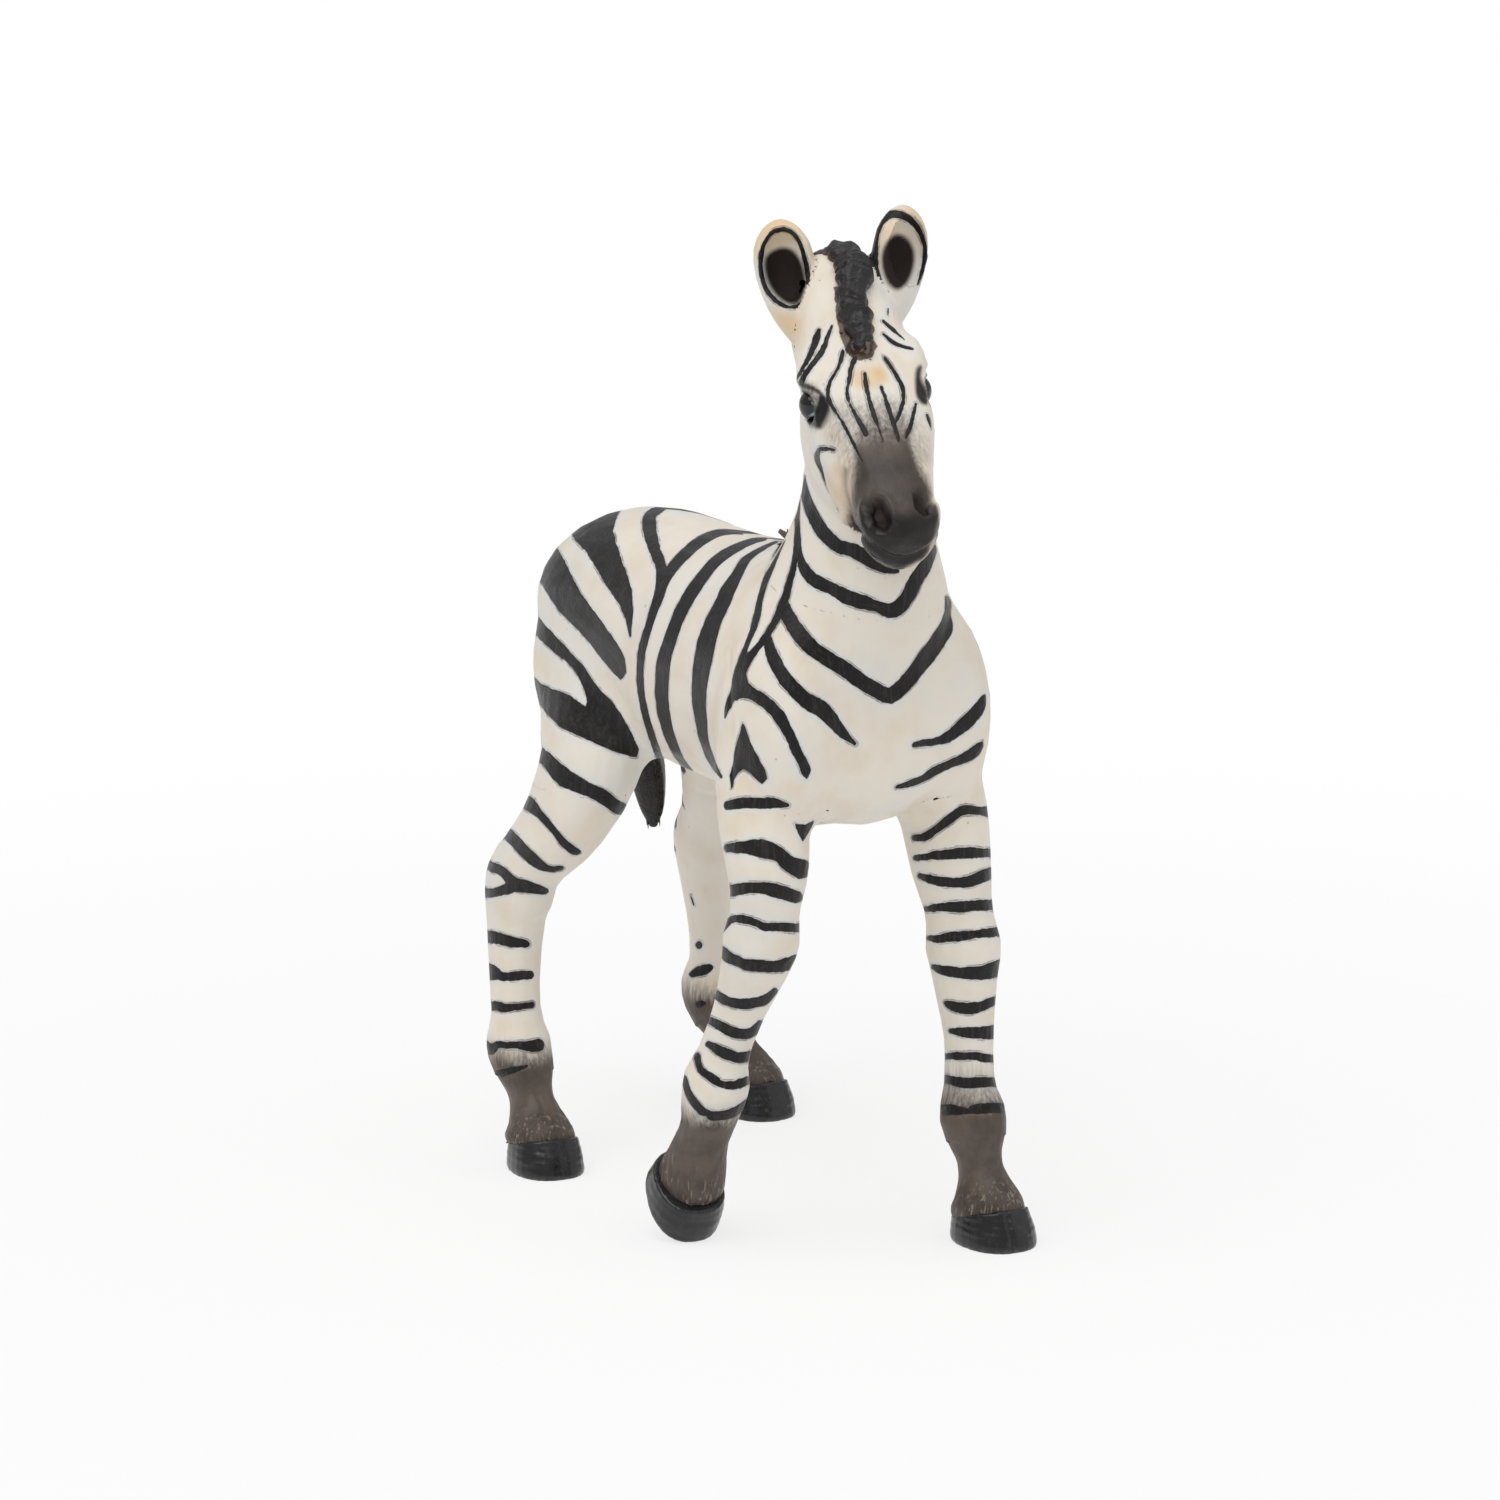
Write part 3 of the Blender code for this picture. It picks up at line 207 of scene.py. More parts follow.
FACE_STROKES: tuple[Marks, ...] = (
    ((819, 330, 5), (817, 337, 8), (813, 348, 7), (808, 359, 6), (802, 369, 4), (798, 378, 4)),
    ((832, 326, 3), (828, 336, 5), (824, 347, 6), (818, 357, 7), (811, 366, 6), (806, 374, 6),
     (803, 383, 6)),
    ((843, 350, 4), (841, 360, 5), (837, 370, 4), (831, 380, 4), (828, 390, 5), (829, 400, 5),
     (835, 411, 4), (842, 422, 4), (849, 435, 4), (856, 449, 4), (862, 461, 3)),
    ((855, 358, 5), (851, 368, 6), (849, 380, 5), (847, 392, 4), (849, 402, 4), (854, 412, 4),
     (860, 423, 5), (866, 434, 6)),
    ((865, 374, 4), (866, 385, 5), (869, 398, 5), (873, 412, 5), (878, 426, 4), (883, 441, 3)),
    ((881, 387, 4), (885, 397, 5), (889, 410, 5), (893, 422, 5), (897, 435, 5), (899, 442, 3)),
    ((876, 349, 4), (884, 357, 5), (891, 367, 5), (898, 378, 5), (903, 389, 5), (903, 401, 5),
     (900, 412, 5), (896, 422, 3)),
    ((916, 404, 4), (913, 416, 4), (910, 427, 5), (906, 437, 4)),
    ((883, 321, 4), (890, 327, 5), (897, 333, 4), (905, 340, 2)),
    ((883, 334, 4), (891, 341, 5), (901, 346, 5), (913, 349, 4)),
    ((912, 334, 3), (914, 340, 2)),
    ((888, 309, 2), (888, 316, 2)),
    ((834, 450, 3), (826, 449, 5), (819, 450, 5), (817, 458, 6), (820, 468, 4), (824, 483, 1.5),
     (830, 499, 1.2), (838, 512, 1.2)),
    ((927, 415, 4), (932, 427, 5), (937, 440, 4), (939, 448, 2)),
)
WEDGES: tuple[Marks, ...] = (
    ((624, 503), (606, 503), (586, 514), (571, 530), (576, 541), (585, 549), (592, 560), (600, 573),
     (610, 590), (620, 604), (626, 618), (630, 636), (632, 612), (631, 590), (626, 575), (621, 561),
     (615, 543), (612, 530), (616, 516)),
    ((552, 541), (538, 548), (528, 562), (535, 574), (544, 586), (550, 597), (560, 611), (576, 627),
     (590, 642), (602, 658), (612, 670), (621, 679), (625, 672), (624, 659), (617, 645), (605, 628),
     (593, 611), (580, 594), (572, 578), (566, 566), (559, 553)),
    ((526, 607), (534, 612), (545, 627), (559, 641), (570, 653), (583, 667), (592, 681), (601, 692),
     (611, 702), (621, 716), (632, 736), (638, 749), (636, 757), (624, 754), (606, 747), (590, 740),
     (575, 733), (560, 726), (548, 714), (540, 703), (530, 690), (529, 672), (536, 680), (541, 685),
     (549, 689), (560, 692), (570, 697), (578, 703), (586, 707), (588, 702), (586, 692), (581, 680),
     (574, 668), (566, 660), (554, 652), (545, 643), (538, 636), (526, 625)),
    ((538, 746), (550, 755), (560, 764), (572, 773), (585, 781), (597, 787), (609, 794), (620, 802),
     (631, 809), (627, 815), (615, 813), (606, 806), (597, 800), (586, 795), (572, 790), (560, 785),
     (552, 777), (547, 769), (538, 760)),
    ((741, 655), (735, 672), (730, 690), (726, 706), (725, 718), (728, 708), (733, 700), (742, 697),
     (752, 699), (762, 706), (771, 714), (778, 724), (785, 735), (791, 748), (798, 763), (803, 774),
     (807, 778), (810, 771), (806, 760), (801, 750), (795, 737), (789, 724), (783, 712), (773, 702),
     (763, 694), (753, 688), (747, 682), (745, 673), (749, 664)),
    ((743, 724), (749, 741), (756, 756), (763, 769), (766, 778), (762, 783), (757, 779), (750, 772),
     (744, 768), (738, 771), (733, 779), (731, 788), (730, 775), (733, 760), (738, 742)),
    ((795, 824), (805, 826), (813, 822), (808, 832), (803, 840)),
)
MUZZLE_PATCH: Marks = (
    (852, 440), (856, 420), (868, 400), (888, 394), (904, 404), (910, 424), (914, 448), (920, 468),
    (930, 484), (942, 500), (950, 524), (946, 552), (928, 572), (900, 580), (866, 572), (848, 544),
    (850, 510), (853, 480), (853, 458),
)
NOSE_PATCH: Marks = (
    (866, 500), (884, 506), (902, 512), (918, 504), (940, 500), (950, 525), (946, 552), (928, 574),
    (898, 582), (864, 568), (850, 534), (856, 510),
)
BROW_SHADE: Marks = (
    (828, 412), (846, 404), (866, 402), (888, 400), (908, 410), (922, 430), (930, 460), (900, 470),
    (850, 478), (838, 452), (828, 436),
)
# Painted shade in the crease at the corner of the mouth.
MOUTH_CREASE_SHADE: Marks = (
    (842, 470), (848, 470), (847, 486), (852, 508), (854, 522), (848, 510), (842, 492),
)
CHEEK_GLOW: Marks = ((826, 470), (842, 466), (848, 490), (856, 516), (846, 522), (832, 504))
EAR_ROOT_GLOW: Marks = ((770, 308), (796, 316), (804, 336), (796, 350), (784, 336))
FOREHEAD_GLOW: Marks = ((855, 370), (880, 366), (886, 380), (872, 388), (856, 386))
# Painted shade under and in front of the right eye.
LOWER_LID_SHADE: Marks = (
    (798, 411), (806, 417), (813, 413), (817, 404), (819, 394), (826, 396), (831, 406), (831, 418),
    (826, 427), (818, 429), (808, 422),
)
EYE_CORNER: Marks = (
    (792, 384), (804, 376), (818, 380), (829, 394), (833, 412), (828, 430), (812, 428), (798, 412),
)
UPPER_LID: Marks = (
    (792, 394, 3), (797, 386, 4), (804, 385, 5), (812, 388, 5), (820, 393, 4), (826, 401, 3),
)
LEFT_EYE_SHADOW: Marks = ((916, 368), (925, 364), (936, 385), (930, 404), (918, 402), (915, 386))
FORELOCK_FUZZ: Marks = (
    (834, 288), (840, 286), (848, 300), (852, 322), (860, 340), (873, 339), (877, 347), (872, 357),
    (860, 361), (849, 355), (842, 341), (837, 318),
)
RIGHT_NOSTRIL: Marks = (
    (872, 500), (880, 500), (886, 510), (889, 522), (884, 530), (876, 530), (869, 520), (867, 508),
)
LEFT_NOSTRIL: Marks = ((916, 492), (924, 492), (932, 500), (934, 511), (927, 514), (918, 506))
RIGHT_EAR_RING: Marks = (
    (784, 229, 4.5), (773, 232, 4), (765, 242, 4.5), (761, 256, 4.5), (761, 272, 4.5),
    (766, 289, 4.5), (776, 301, 4.5), (789, 307, 4), (802, 304, 4.5), (808, 292, 5), (808, 276, 5),
    (805, 260, 4.5), (801, 246, 4.5), (794, 234, 4.5), (784, 229, 4.5),
)
LEFT_EAR_RING: Marks = (
    (881, 284, 3), (876, 272, 7), (874, 258, 9), (874, 240, 9), (880, 222, 9), (892, 214, 8),
    (906, 217, 7), (917, 227, 6), (924, 242, 5), (925, 257, 4), (922, 272, 4), (918, 284, 3),
)
RIGHT_EAR_HOLLOW: Marks = (
    (778, 248), (791, 249), (800, 259), (805, 275), (805, 292), (798, 304), (786, 303), (774, 293),
    (766, 277), (765, 258),
)
LEFT_EAR_HOLLOW: Marks = (
    (897, 234), (907, 238), (914, 250), (914, 266), (908, 282), (898, 290), (888, 284), (882, 268),
    (882, 252), (888, 240),
)
# Stripes on the sides of the neck that the photograph doesn't show: along, up and width, in
# millimetres.
NAPE_STROKES: tuple[Marks, ...] = (
    ((-11.6, 75.0, 1.0), (-13.6, 71.6, 1.1), (-15.8, 69.2, 0.9), (-17.6, 68.2, 0.3)),
)
LEFT_NECK_STROKES: tuple[Marks, ...] = NAPE_STROKES + (
    ((-11.2, 71.0, 1.1), (-13.4, 67.6, 1.3), (-16.4, 65.2, 1.1), (-20.0, 64.0, 0.4)),
    ((-11.0, 67.0, 1.1), (-13.4, 63.9, 1.3), (-17.0, 61.6, 1.2), (-20.0, 60.4, 1.0),
     (-22.6, 60.0, 0.7)),
    ((-10.8, 63.0, 1.0), (-13.2, 60.6, 1.2), (-16.4, 58.8, 1.2), (-20.4, 57.7, 0.7)),
    ((-9.6, 59.8, 0.9), (-12.4, 57.6, 1.1), (-15.6, 55.4, 1.2), (-19.6, 53.9, 0.9)),
)
RIGHT_NECK_STROKES: tuple[Marks, ...] = NAPE_STROKES + (
    ((-11.2, 71.0, 1.0), (-13.2, 68.2, 1.1), (-15.2, 66.6, 1.0), (-17.6, 65.4, 0.6)),
    ((-11.0, 67.0, 0.9), (-12.8, 65.2, 1.0), (-14.4, 64.2, 0.8), (-16.2, 63.5, 0.5)),
    ((-10.8, 63.0, 0.8), (-12.6, 61.0, 0.9), (-14.6, 59.6, 0.6)),
)
# How the rump's stripes run on over the side that the photograph doesn't show: aside, along, up
# and width, in millimetres.
RUMP_BACK_STROKES: tuple[Marks, ...] = (
    ((-5.4, 17.6, 55.0, 4.0), (-4.7, 20.0, 55.4, 3.7), (-3.7, 22.4, 55.2, 3.1),
     (-2.6, 24.7, 54.4, 2.2), (-1.7, 26.6, 53.6, 1.2), (-1.2, 27.8, 53.0, 0.3)),
    ((-8.3, 20.6, 51.0, 3.1), (-7.7, 23.0, 51.2, 2.9), (-6.6, 25.0, 51.3, 2.5),
     (-5.2, 26.8, 51.3, 1.9), (-3.8, 28.0, 51.0, 1.1), (-2.8, 28.8, 50.7, 0.3)),
    ((-8.6, 23.6, 46.2, 1.6), (-7.6, 25.6, 46.9, 1.8), (-6.2, 27.2, 47.6, 1.7),
     (-4.6, 28.5, 48.1, 1.3), (-3.0, 29.2, 48.2, 0.8), (-2.0, 29.4, 48.0, 0.3)),
    ((-9.7, 21.8, 41.4, 1.5), (-8.6, 23.8, 42.0, 1.7), (-7.2, 25.2, 42.9, 1.6),
     (-5.6, 26.6, 43.8, 1.3), (-4.0, 27.5, 44.3, 0.9), (-2.8, 28.0, 44.6, 0.3)),
    ((-11.9, 16.6, 36.3, 1.3), (-10.8, 18.8, 37.3, 1.4), (-9.3, 21.0, 38.5, 1.3),
     (-7.6, 22.8, 39.6, 1.1), (-6.0, 23.9, 40.3, 0.8), (-5.0, 24.6, 40.7, 0.3)),
)


def compass(azimuth: float, elevation: float) -> np.ndarray:
    """The way from the figure to something at an azimuth and an elevation, in radians."""
    level = math.cos(elevation)
    return np.array((math.sin(azimuth) * level, -math.cos(azimuth) * level, math.sin(elevation)))


@dataclass(frozen=True)
class PhotoCamera:
    """The viewpoint of the photograph, in millimetres, radians and photograph pixels."""

    azimuth: float = math.radians(-28.0)
    elevation: float = math.radians(11.0)
    distance: float = 420.0
    target: tuple[float, float, float] = (-4.348, -7.546, 40.0)
    focal: float = 5124.0
    picture: float = 1500.0
    sensor: float = 36.0

    def axes(self) -> np.ndarray:
        """Rows are the picture's right, its up and the way back to the camera."""
        right = np.array((math.cos(self.azimuth), math.sin(self.azimuth), 0.0))
        back = compass(self.azimuth, self.elevation)
        return np.array((right, np.cross(back, right), back))

    def place(self) -> np.ndarray:
        """Where the camera stands."""
        return np.array(self.target) + self.axes()[2] * self.distance

    def pixels(self, points: np.ndarray) -> np.ndarray:
        """Where points land on the photograph.

        Args:
            points: rows of places in millimetres.

        Returns:
            Rows of pixels, from the picture's top left.
        """
        seen = (points - self.place()) @ self.axes().T
        scale = self.focal / -seen[:, 2]
        middle = self.picture / 2.0
        return np.stack((middle + seen[:, 0] * scale, middle - seen[:, 1] * scale), axis=1)

    def per_millimetre(self) -> float:
        """How many of the photograph's pixels a millimetre takes up."""
        return self.focal / self.distance

    def facing(self, normals: np.ndarray) -> np.ndarray:
        """How far normals turn towards the camera, from minus one to one."""
        return normals @ self.axes()[2]

    def build(self) -> None:
        """Make the scene's camera."""
        data = bpy.data.cameras.new("photo_camera")
        data.sensor_width = self.sensor
        data.lens = self.sensor * self.focal / self.picture
        data.clip_start = 0.01
        data.clip_end = 50.0
        camera = bpy.data.objects.new("photo_camera", data)
        turn = Matrix([Vector(row) for row in self.axes()]).transposed().to_4x4()
        camera.matrix_world = Matrix.Translation(Vector(self.place() * MM)) @ turn
        bpy.context.scene.collection.objects.link(camera)
        bpy.context.scene.camera = camera


PHOTO = PhotoCamera()


@dataclass(frozen=True)
class BodyPlan:
    """The driving sizes that the solids follow, in millimetres, and their move to the origin."""

    width: float = 19.6
    length: float = 52.0
    withers: float = 57.0
    move: tuple[float, float] = (-0.076, 2.033)

    def place(self, aside: float, along: float, up: float) -> tuple[float, float, float]:
        """A place given by shares of body width, body length and withers height."""
        return (
            aside * self.width + self.move[0],
            along * self.length + self.move[1],
            up * self.withers,
        )


PLAN = BodyPlan()


@dataclass(frozen=True)
class HeadFrame:
    """Where the head starts and how it is turned, as the solids have it."""

    start: tuple[float, float, float] = PLAN.place(-0.020, -0.337, 1.351)
    yaw: float = math.radians(-12.5)
    pitch: float = math.radians(43.0)
    roll: float = math.radians(-9.0)

    def axes(self) -> np.ndarray:
        """Rows are the head's side, muzzle and forehead directions."""
        turned = (
            Matrix.Rotation(self.yaw, 3, "Z") @ Matrix.Rotation(self.pitch, 3, "X")
            @ Matrix.Rotation(self.roll, 3, "Y")
        )
        ways = (Vector((1.0, 0.0, 0.0)), Vector((0.0, -1.0, 0.0)), Vector((0.0, 0.0, 1.0)))
        return np.array([turned @ way for way in ways])

    def local(self, points: np.ndarray) -> np.ndarray:
        """Places along the head's side, muzzle and forehead directions, in millimetres."""
        return (points - np.array(self.start)) @ self.axes().T

    def mirrored(self, points: np.ndarray) -> np.ndarray:
        """The same places on the head's other side."""
        side = self.axes()[0]
        return points - 2.0 * ((points - np.array(self.start)) @ side)[:, None] * side


HEAD = HeadFrame()


@dataclass(frozen=True)
class EyePlace:
    """Where an eyeball sits and the way it looks."""

    name: str
    sign: float
    forward: float = 0.25

    def axes(self) -> np.ndarray:
        """Rows are the way the eye looks, the way towards the muzzle and the way up."""
        side, muzzle, forehead = HEAD.axes()
        outward = side * self.sign + muzzle * 0.7 + forehead * 0.8
        outward /= np.linalg.norm(outward)
        ahead = muzzle - outward * (muzzle @ outward)
        ahead /= np.linalg.norm(ahead)
        above = np.cross(ahead, outward) * self.sign
        return np.array((outward, ahead, above))

    def box(self) -> tuple[np.ndarray, np.ndarray]:
        """The eyeball's corners in millimetres, a little out of its seat."""
        low, high = (np.array(corner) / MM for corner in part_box(self.name))
        move = self.axes()[0] * self.forward
        return low + move, high + move


EYES = (EyePlace("left_eye", 1.0), EyePlace("right_eye", -1.0))


def smooth_step(values: np.ndarray, low: float, high: float) -> np.ndarray:
    """Ease from 0 to 1.

    Args:
        values: what is eased.
        low: where the result is 0.
        high: where the result is 1, above or below low.

    Returns:
        The eased values.
    """
    share = np.clip((values - low) / (high - low), 0.0, 1.0)
    return share * share * (3.0 - 2.0 * share)


def bell(values: np.ndarray, middle: float, width: float) -> np.ndarray:
    """A smooth hump that is 1 at the middle and falls off over its width."""
    return np.exp(-(((values - middle) / width) ** 2))


def flowing(marks: Marks, steps: int = 3) -> np.ndarray:
    """Extra marks on a smooth curve through given ones.

    Args:
        marks: the given rows.
        steps: how many pieces each stretch becomes.

    Returns:
        The rows of the smooth line.
    """
    rows = np.array(marks, dtype=float)
    if len(rows) < 3:
        return rows
    ends = np.vstack((2.0 * rows[0] - rows[1], rows, 2.0 * rows[-1] - rows[-2]))
    made = []
    for first, start, stop, last in zip(ends, ends[1:], ends[2:], ends[3:]):
        for step in range(steps):
            share = step / steps
            bend = 2.0 * first - 5.0 * start + 4.0 * stop - last
            twist = 3.0 * start - first - 3.0 * stop + last
            made.append(0.5 * (
                2.0 * start + (stop - first) * share + bend * share ** 2 + twist * share ** 3
            ))
    made.append(rows[-1])
    return np.array(made)


def rounded(corners: Marks) -> Marks:
    """The same outline with its corners rounded."""
    loop = corners[-2:] + corners + corners[:3]
    rows = flowing(loop)
    return tuple((row[0], row[1]) for row in rows[6:-6])


def segment_gaps(
    places: np.ndarray, start: np.ndarray, stop: np.ndarray,
) -> tuple[np.ndarray, np.ndarray]:
    """How far places are from a straight stretch.

    Args:
        places: rows of flat places.
        start: one end of the stretch.
        stop: its other end.

    Returns:
        The distances, and the share of the stretch where each is nearest.
    """
    along = stop - start
    share = np.clip(((places - start) @ along) / max(float(along @ along), 1e-9), 0.0, 1.0)
    return np.linalg.norm(places - start - share[:, None] * along, axis=1), share


def stroke_gaps(places: np.ndarray, marks: Marks, reach: float) -> np.ndarray:
    """Signed distance to the edge of a brush stroke, less than zero in the paint.

    Args:
        places: rows of places, flat or in space.
        marks: the stroke, each mark with its width.
        reach: the distance that stands for all beyond it.

    Returns:
        One distance for each place.
    """
    rows = flowing(marks)
    wide = float(rows[:, -1].max())
    low, high = rows[:, :-1].min(axis=0) - reach - wide, rows[:, :-1].max(axis=0) + reach + wide
    near = np.flatnonzero(((places > low) & (places < high)).all(axis=1))
    gaps = np.full(len(places), reach)
    for first, last in zip(rows[:-1], rows[1:]):
        away, share = segment_gaps(places[near], first[:-1], last[:-1])
        width = first[-1] + share * (last[-1] - first[-1])
        gaps[near] = np.minimum(gaps[near], away - width / 2.0)
    return gaps


def patch_gaps(places: np.ndarray, corners: Marks, reach: float) -> np.ndarray:
    """Signed distance to the outline of a patch, less than zero inside it.

    Args:
        places: rows of flat places.
        corners: the outline's corners in order.
        reach: the distance that stands for all beyond it.

    Returns:
        One distance for each place.
    """
    rows = np.array(corners, dtype=float)
    low, high = rows.min(axis=0) - reach, rows.max(axis=0) + reach
    near = np.flatnonzero(((places > low) & (places < high)).all(axis=1))
    spots = places[near]
    away = np.full(len(near), reach)
    inside = np.zeros(len(near), dtype=bool)
    for start, stop in zip(rows, np.roll(rows, -1, axis=0)):
        away = np.minimum(away, segment_gaps(spots, start, stop)[0])
        crosses = (start[1] > spots[:, 1]) != (stop[1] > spots[:, 1])
        rise = stop[1] - start[1]
        if rise:
            meet = start[0] + (spots[:, 1] - start[1]) * (stop[0] - start[0]) / rise
            inside ^= crosses & (spots[:, 0] < meet)
    gaps = np.full(len(places), reach)
    gaps[near] = np.where(inside, -away, away)
    return gaps


@dataclass(frozen=True)
class Wash:
    """A soft patch of paint: its outline, how soft its edge is and how strong it is."""

    corners: Marks
    soft: float
    strength: float = 1.0
    on_ears: bool = False


MUZZLE = Wash(MUZZLE_PATCH, 8.0)
BROW = Wash(BROW_SHADE, 14.0, 0.4)
EYE_ROUND = Wash(EYE_CORNER, 7.0, 0.55)
NOSE = Wash(NOSE_PATCH, 13.0, 0.92)
# Painted shade in the mouth's crease, laid on as black.
MOUTH = Wash(MOUTH_CREASE_SHADE, 4.0, 0.65)
LID_SHADES = (Wash(LOWER_LID_SHADE, 2.2), Wash(LEFT_EYE_SHADOW, 2.4))
NOSTRILS = (Wash(RIGHT_NOSTRIL, 4.0), Wash(LEFT_NOSTRIL, 4.0))
GLOWS = (
    Wash(FOREHEAD_GLOW, 7.0, 0.9),
    Wash(CHEEK_GLOW, 7.0, 0.5),
    Wash(EAR_ROOT_GLOW, 9.0, 0.5, on_ears=True),
)


@dataclass(frozen=True)
class Artwork:
    """Strokes and patches painted in one colour."""

    strokes: tuple[Marks, ...] = ()
    patches: tuple[Marks, ...] = ()

    def gaps(self, places: np.ndarray, reach: float) -> np.ndarray:
        """Signed distance to the nearest painted edge.

        Args:
            places: rows of flat places.
            reach: the distance that stands for all beyond it.

        Returns:
            One distance for each place.
        """
        gaps = np.full(len(places), reach)
        for marks in self.strokes:
            gaps = np.minimum(gaps, stroke_gaps(places, marks, reach))
        for corners in self.patches:
            gaps = np.minimum(gaps, patch_gaps(places, corners, reach))
        return gaps


@dataclass
class Web:
    """The points and faces of a mesh in millimetres, with the sums that smoothing needs."""

    points: np.ndarray
    faces: np.ndarray
    edges: np.ndarray
    links: np.ndarray = field(init=False)

    def __post_init__(self) -> None:
        """Count each point's neighbours."""
        counts = np.bincount(self.edges.ravel(), minlength=len(self.points))
        self.links = counts.astype(float)[:, None]

    @classmethod
    def of(cls, mesh: bpy.types.Mesh) -> "Web":
        """Read a mesh of quads, and keep the largest of its closed skins.

        Args:
            mesh: a mesh in millimetres whose faces all have four corners.

        Returns:
            The web.
        """
        points = np.empty(len(mesh.vertices) * 3)
        mesh.vertices.foreach_get("co", points)
        faces = np.empty(len(mesh.polygons) * 4, dtype=np.int32)
        mesh.polygons.foreach_get("vertices", faces)
        edges = np.empty(len(mesh.edges) * 2, dtype=np.int32)
        mesh.edges.foreach_get("vertices", edges)
        points, faces, edges = points.reshape(-1, 3), faces.reshape(-1, 4), edges.reshape(-1, 2)
        label = np.arange(len(points))
        while True:
            least = np.minimum(label[edges[:, 0]], label[edges[:, 1]])
            fresh = label.copy()
            np.minimum.at(fresh, edges[:, 0], least)
            np.minimum.at(fresh, edges[:, 1], least)
            fresh = fresh[fresh]
            if (fresh == label).all():
                break
            label = fresh
        keep = label == np.bincount(label).argmax()
        fresh_index = np.cumsum(keep) - 1
        faces, edges = faces[keep[faces[:, 0]]], edges[keep[edges[:, 0]]]
        return cls(points[keep], fresh_index[faces], fresh_index[edges])

    def spread(self, values: np.ndarray) -> np.ndarray:
        """The mean of each point's neighbours.

        Args:
            values: a row for each point.

        Returns:
            The means, in the same form.
        """
        wide = values.reshape(len(self.points), -1)
        first, second = self.edges[:, 0], self.edges[:, 1]
        sums = np.empty_like(wide, dtype=float)
        for column in range(wide.shape[1]):
            one = wide[:, column]
            there = np.bincount(first, one[second], len(one))
            sums[:, column] = there + np.bincount(second, one[first], len(one))
        return (sums / self.links).reshape(values.shape)

    def blurred(self, values: np.ndarray, rounds: int) -> np.ndarray:
        """Values that have run into their neighbours for some rounds."""
        for _ in range(rounds):
            values = 0.5 * (values + self.spread(values))
        return values

    def slope(self, values: np.ndarray) -> np.ndarray:
        """How fast values change along the skin, for each millimetre."""
        first, second = self.edges[:, 0], self.edges[:, 1]
        length = np.maximum(np.linalg.norm(self.points[first] - self.points[second], axis=1), 0.01)
        change = abs(values[first] - values[second]) / length
        steepest = np.zeros(len(self.points))
        np.maximum.at(steepest, first, change)
        np.maximum.at(steepest, second, change)
        return steepest

    def relax(self, rounds: int, share: np.ndarray) -> None:
        """Smooth the skin and keep its volume.

        Args:
            rounds: how many passes are made.
            share: how much of each pass a point takes.
        """
        for _ in range(rounds):
            for step in (0.5, -0.53):
                move = self.spread(self.points) - self.points
                self.points = self.points + step * share[:, None] * move

    def normals(self) -> np.ndarray:
        """The way the skin faces at each point."""
        corners = self.points[self.faces]
        facing = np.cross(corners[:, 2] - corners[:, 0], corners[:, 3] - corners[:, 1])
        sums = np.zeros_like(self.points)
        for corner in self.faces.T:
            for axis in range(3):
                sums[:, axis] += np.bincount(corner, facing[:, axis], len(self.points))
        return sums / np.maximum(np.linalg.norm(sums, axis=1, keepdims=True), 1e-12)


def ripple(places: np.ndarray, scale: float, seed: int) -> np.ndarray:
    """Smooth random waves from minus one to one, the same each time.

    Args:
        places: rows of places.
        scale: the waves for each unit of length.
        seed: the choice of waves.

    Returns:
        One value for each place.
    """
    draw = np.random.default_rng(seed)
    total = np.zeros(len(places))
    for _ in range(7):
        way = draw.normal(size=places.shape[1])
        way /= np.linalg.norm(way)
        pace, start = draw.uniform(0.6, 1.7), draw.uniform(0.0, math.tau)
        total += np.sin(places @ way * scale * pace * math.tau + start)
    return total / 7.0 * 1.6


def solid_copy(name: str, grow: float) -> bmesh.types.BMesh:
    """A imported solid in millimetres, its points merged and moved outwards.

    Args:
        name: the node's name.
        grow: how far its faces move out.

    Returns:
        The copy.
    """
    bm = bmesh.new()
    bm.from_mesh(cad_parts[name].data)
    bmesh.ops.scale(bm, vec=(1.0 / MM,) * 3, verts=bm.verts)
    bmesh.ops.remove_doubles(bm, verts=bm.verts, dist=0.002)
    bm.normal_update()
    if grow:
        moves = [vert.normal * grow * min(vert.calc_shell_factor(), 1.6) for vert in bm.verts]
        for vert, move in zip(bm.verts, moves):
            vert.co += move
    return bm


def evaluated(item: bpy.types.Object) -> bpy.types.Mesh:
    """A plain mesh of an object as its modifiers leave it."""
    graph = bpy.context.evaluated_depsgraph_get()
    return bpy.data.meshes.new_from_object(item.evaluated_get(graph))


def remeshed(shapes: Iterable[bmesh.types.BMesh], voxel: float) -> Web:
    """One fine skin round several solids.

    Args:
        shapes: the solids, which are freed.
        voxel: the size of the skin's squares.

    Returns:
        The skin.
    """
    whole = bmesh.new()
    for shape in shapes:
        part = bpy.data.meshes.new("part")
        shape.to_mesh(part)
        shape.free()
        whole.from_mesh(part)
        bpy.data.meshes.remove(part)
    mesh = bpy.data.meshes.new("rough")
    whole.to_mesh(mesh)
    whole.free()
    item = bpy.data.objects.new("rough", mesh)
    bpy.context.scene.collection.objects.link(item)
    modifier = item.modifiers.new("voxels", "REMESH")
    modifier.mode = "VOXEL"
    modifier.voxel_size = voxel
    made = evaluated(item)
    web = Web.of(made)
    bpy.data.objects.remove(item)
    bpy.data.meshes.remove(mesh)
    bpy.data.meshes.remove(made)
    return web


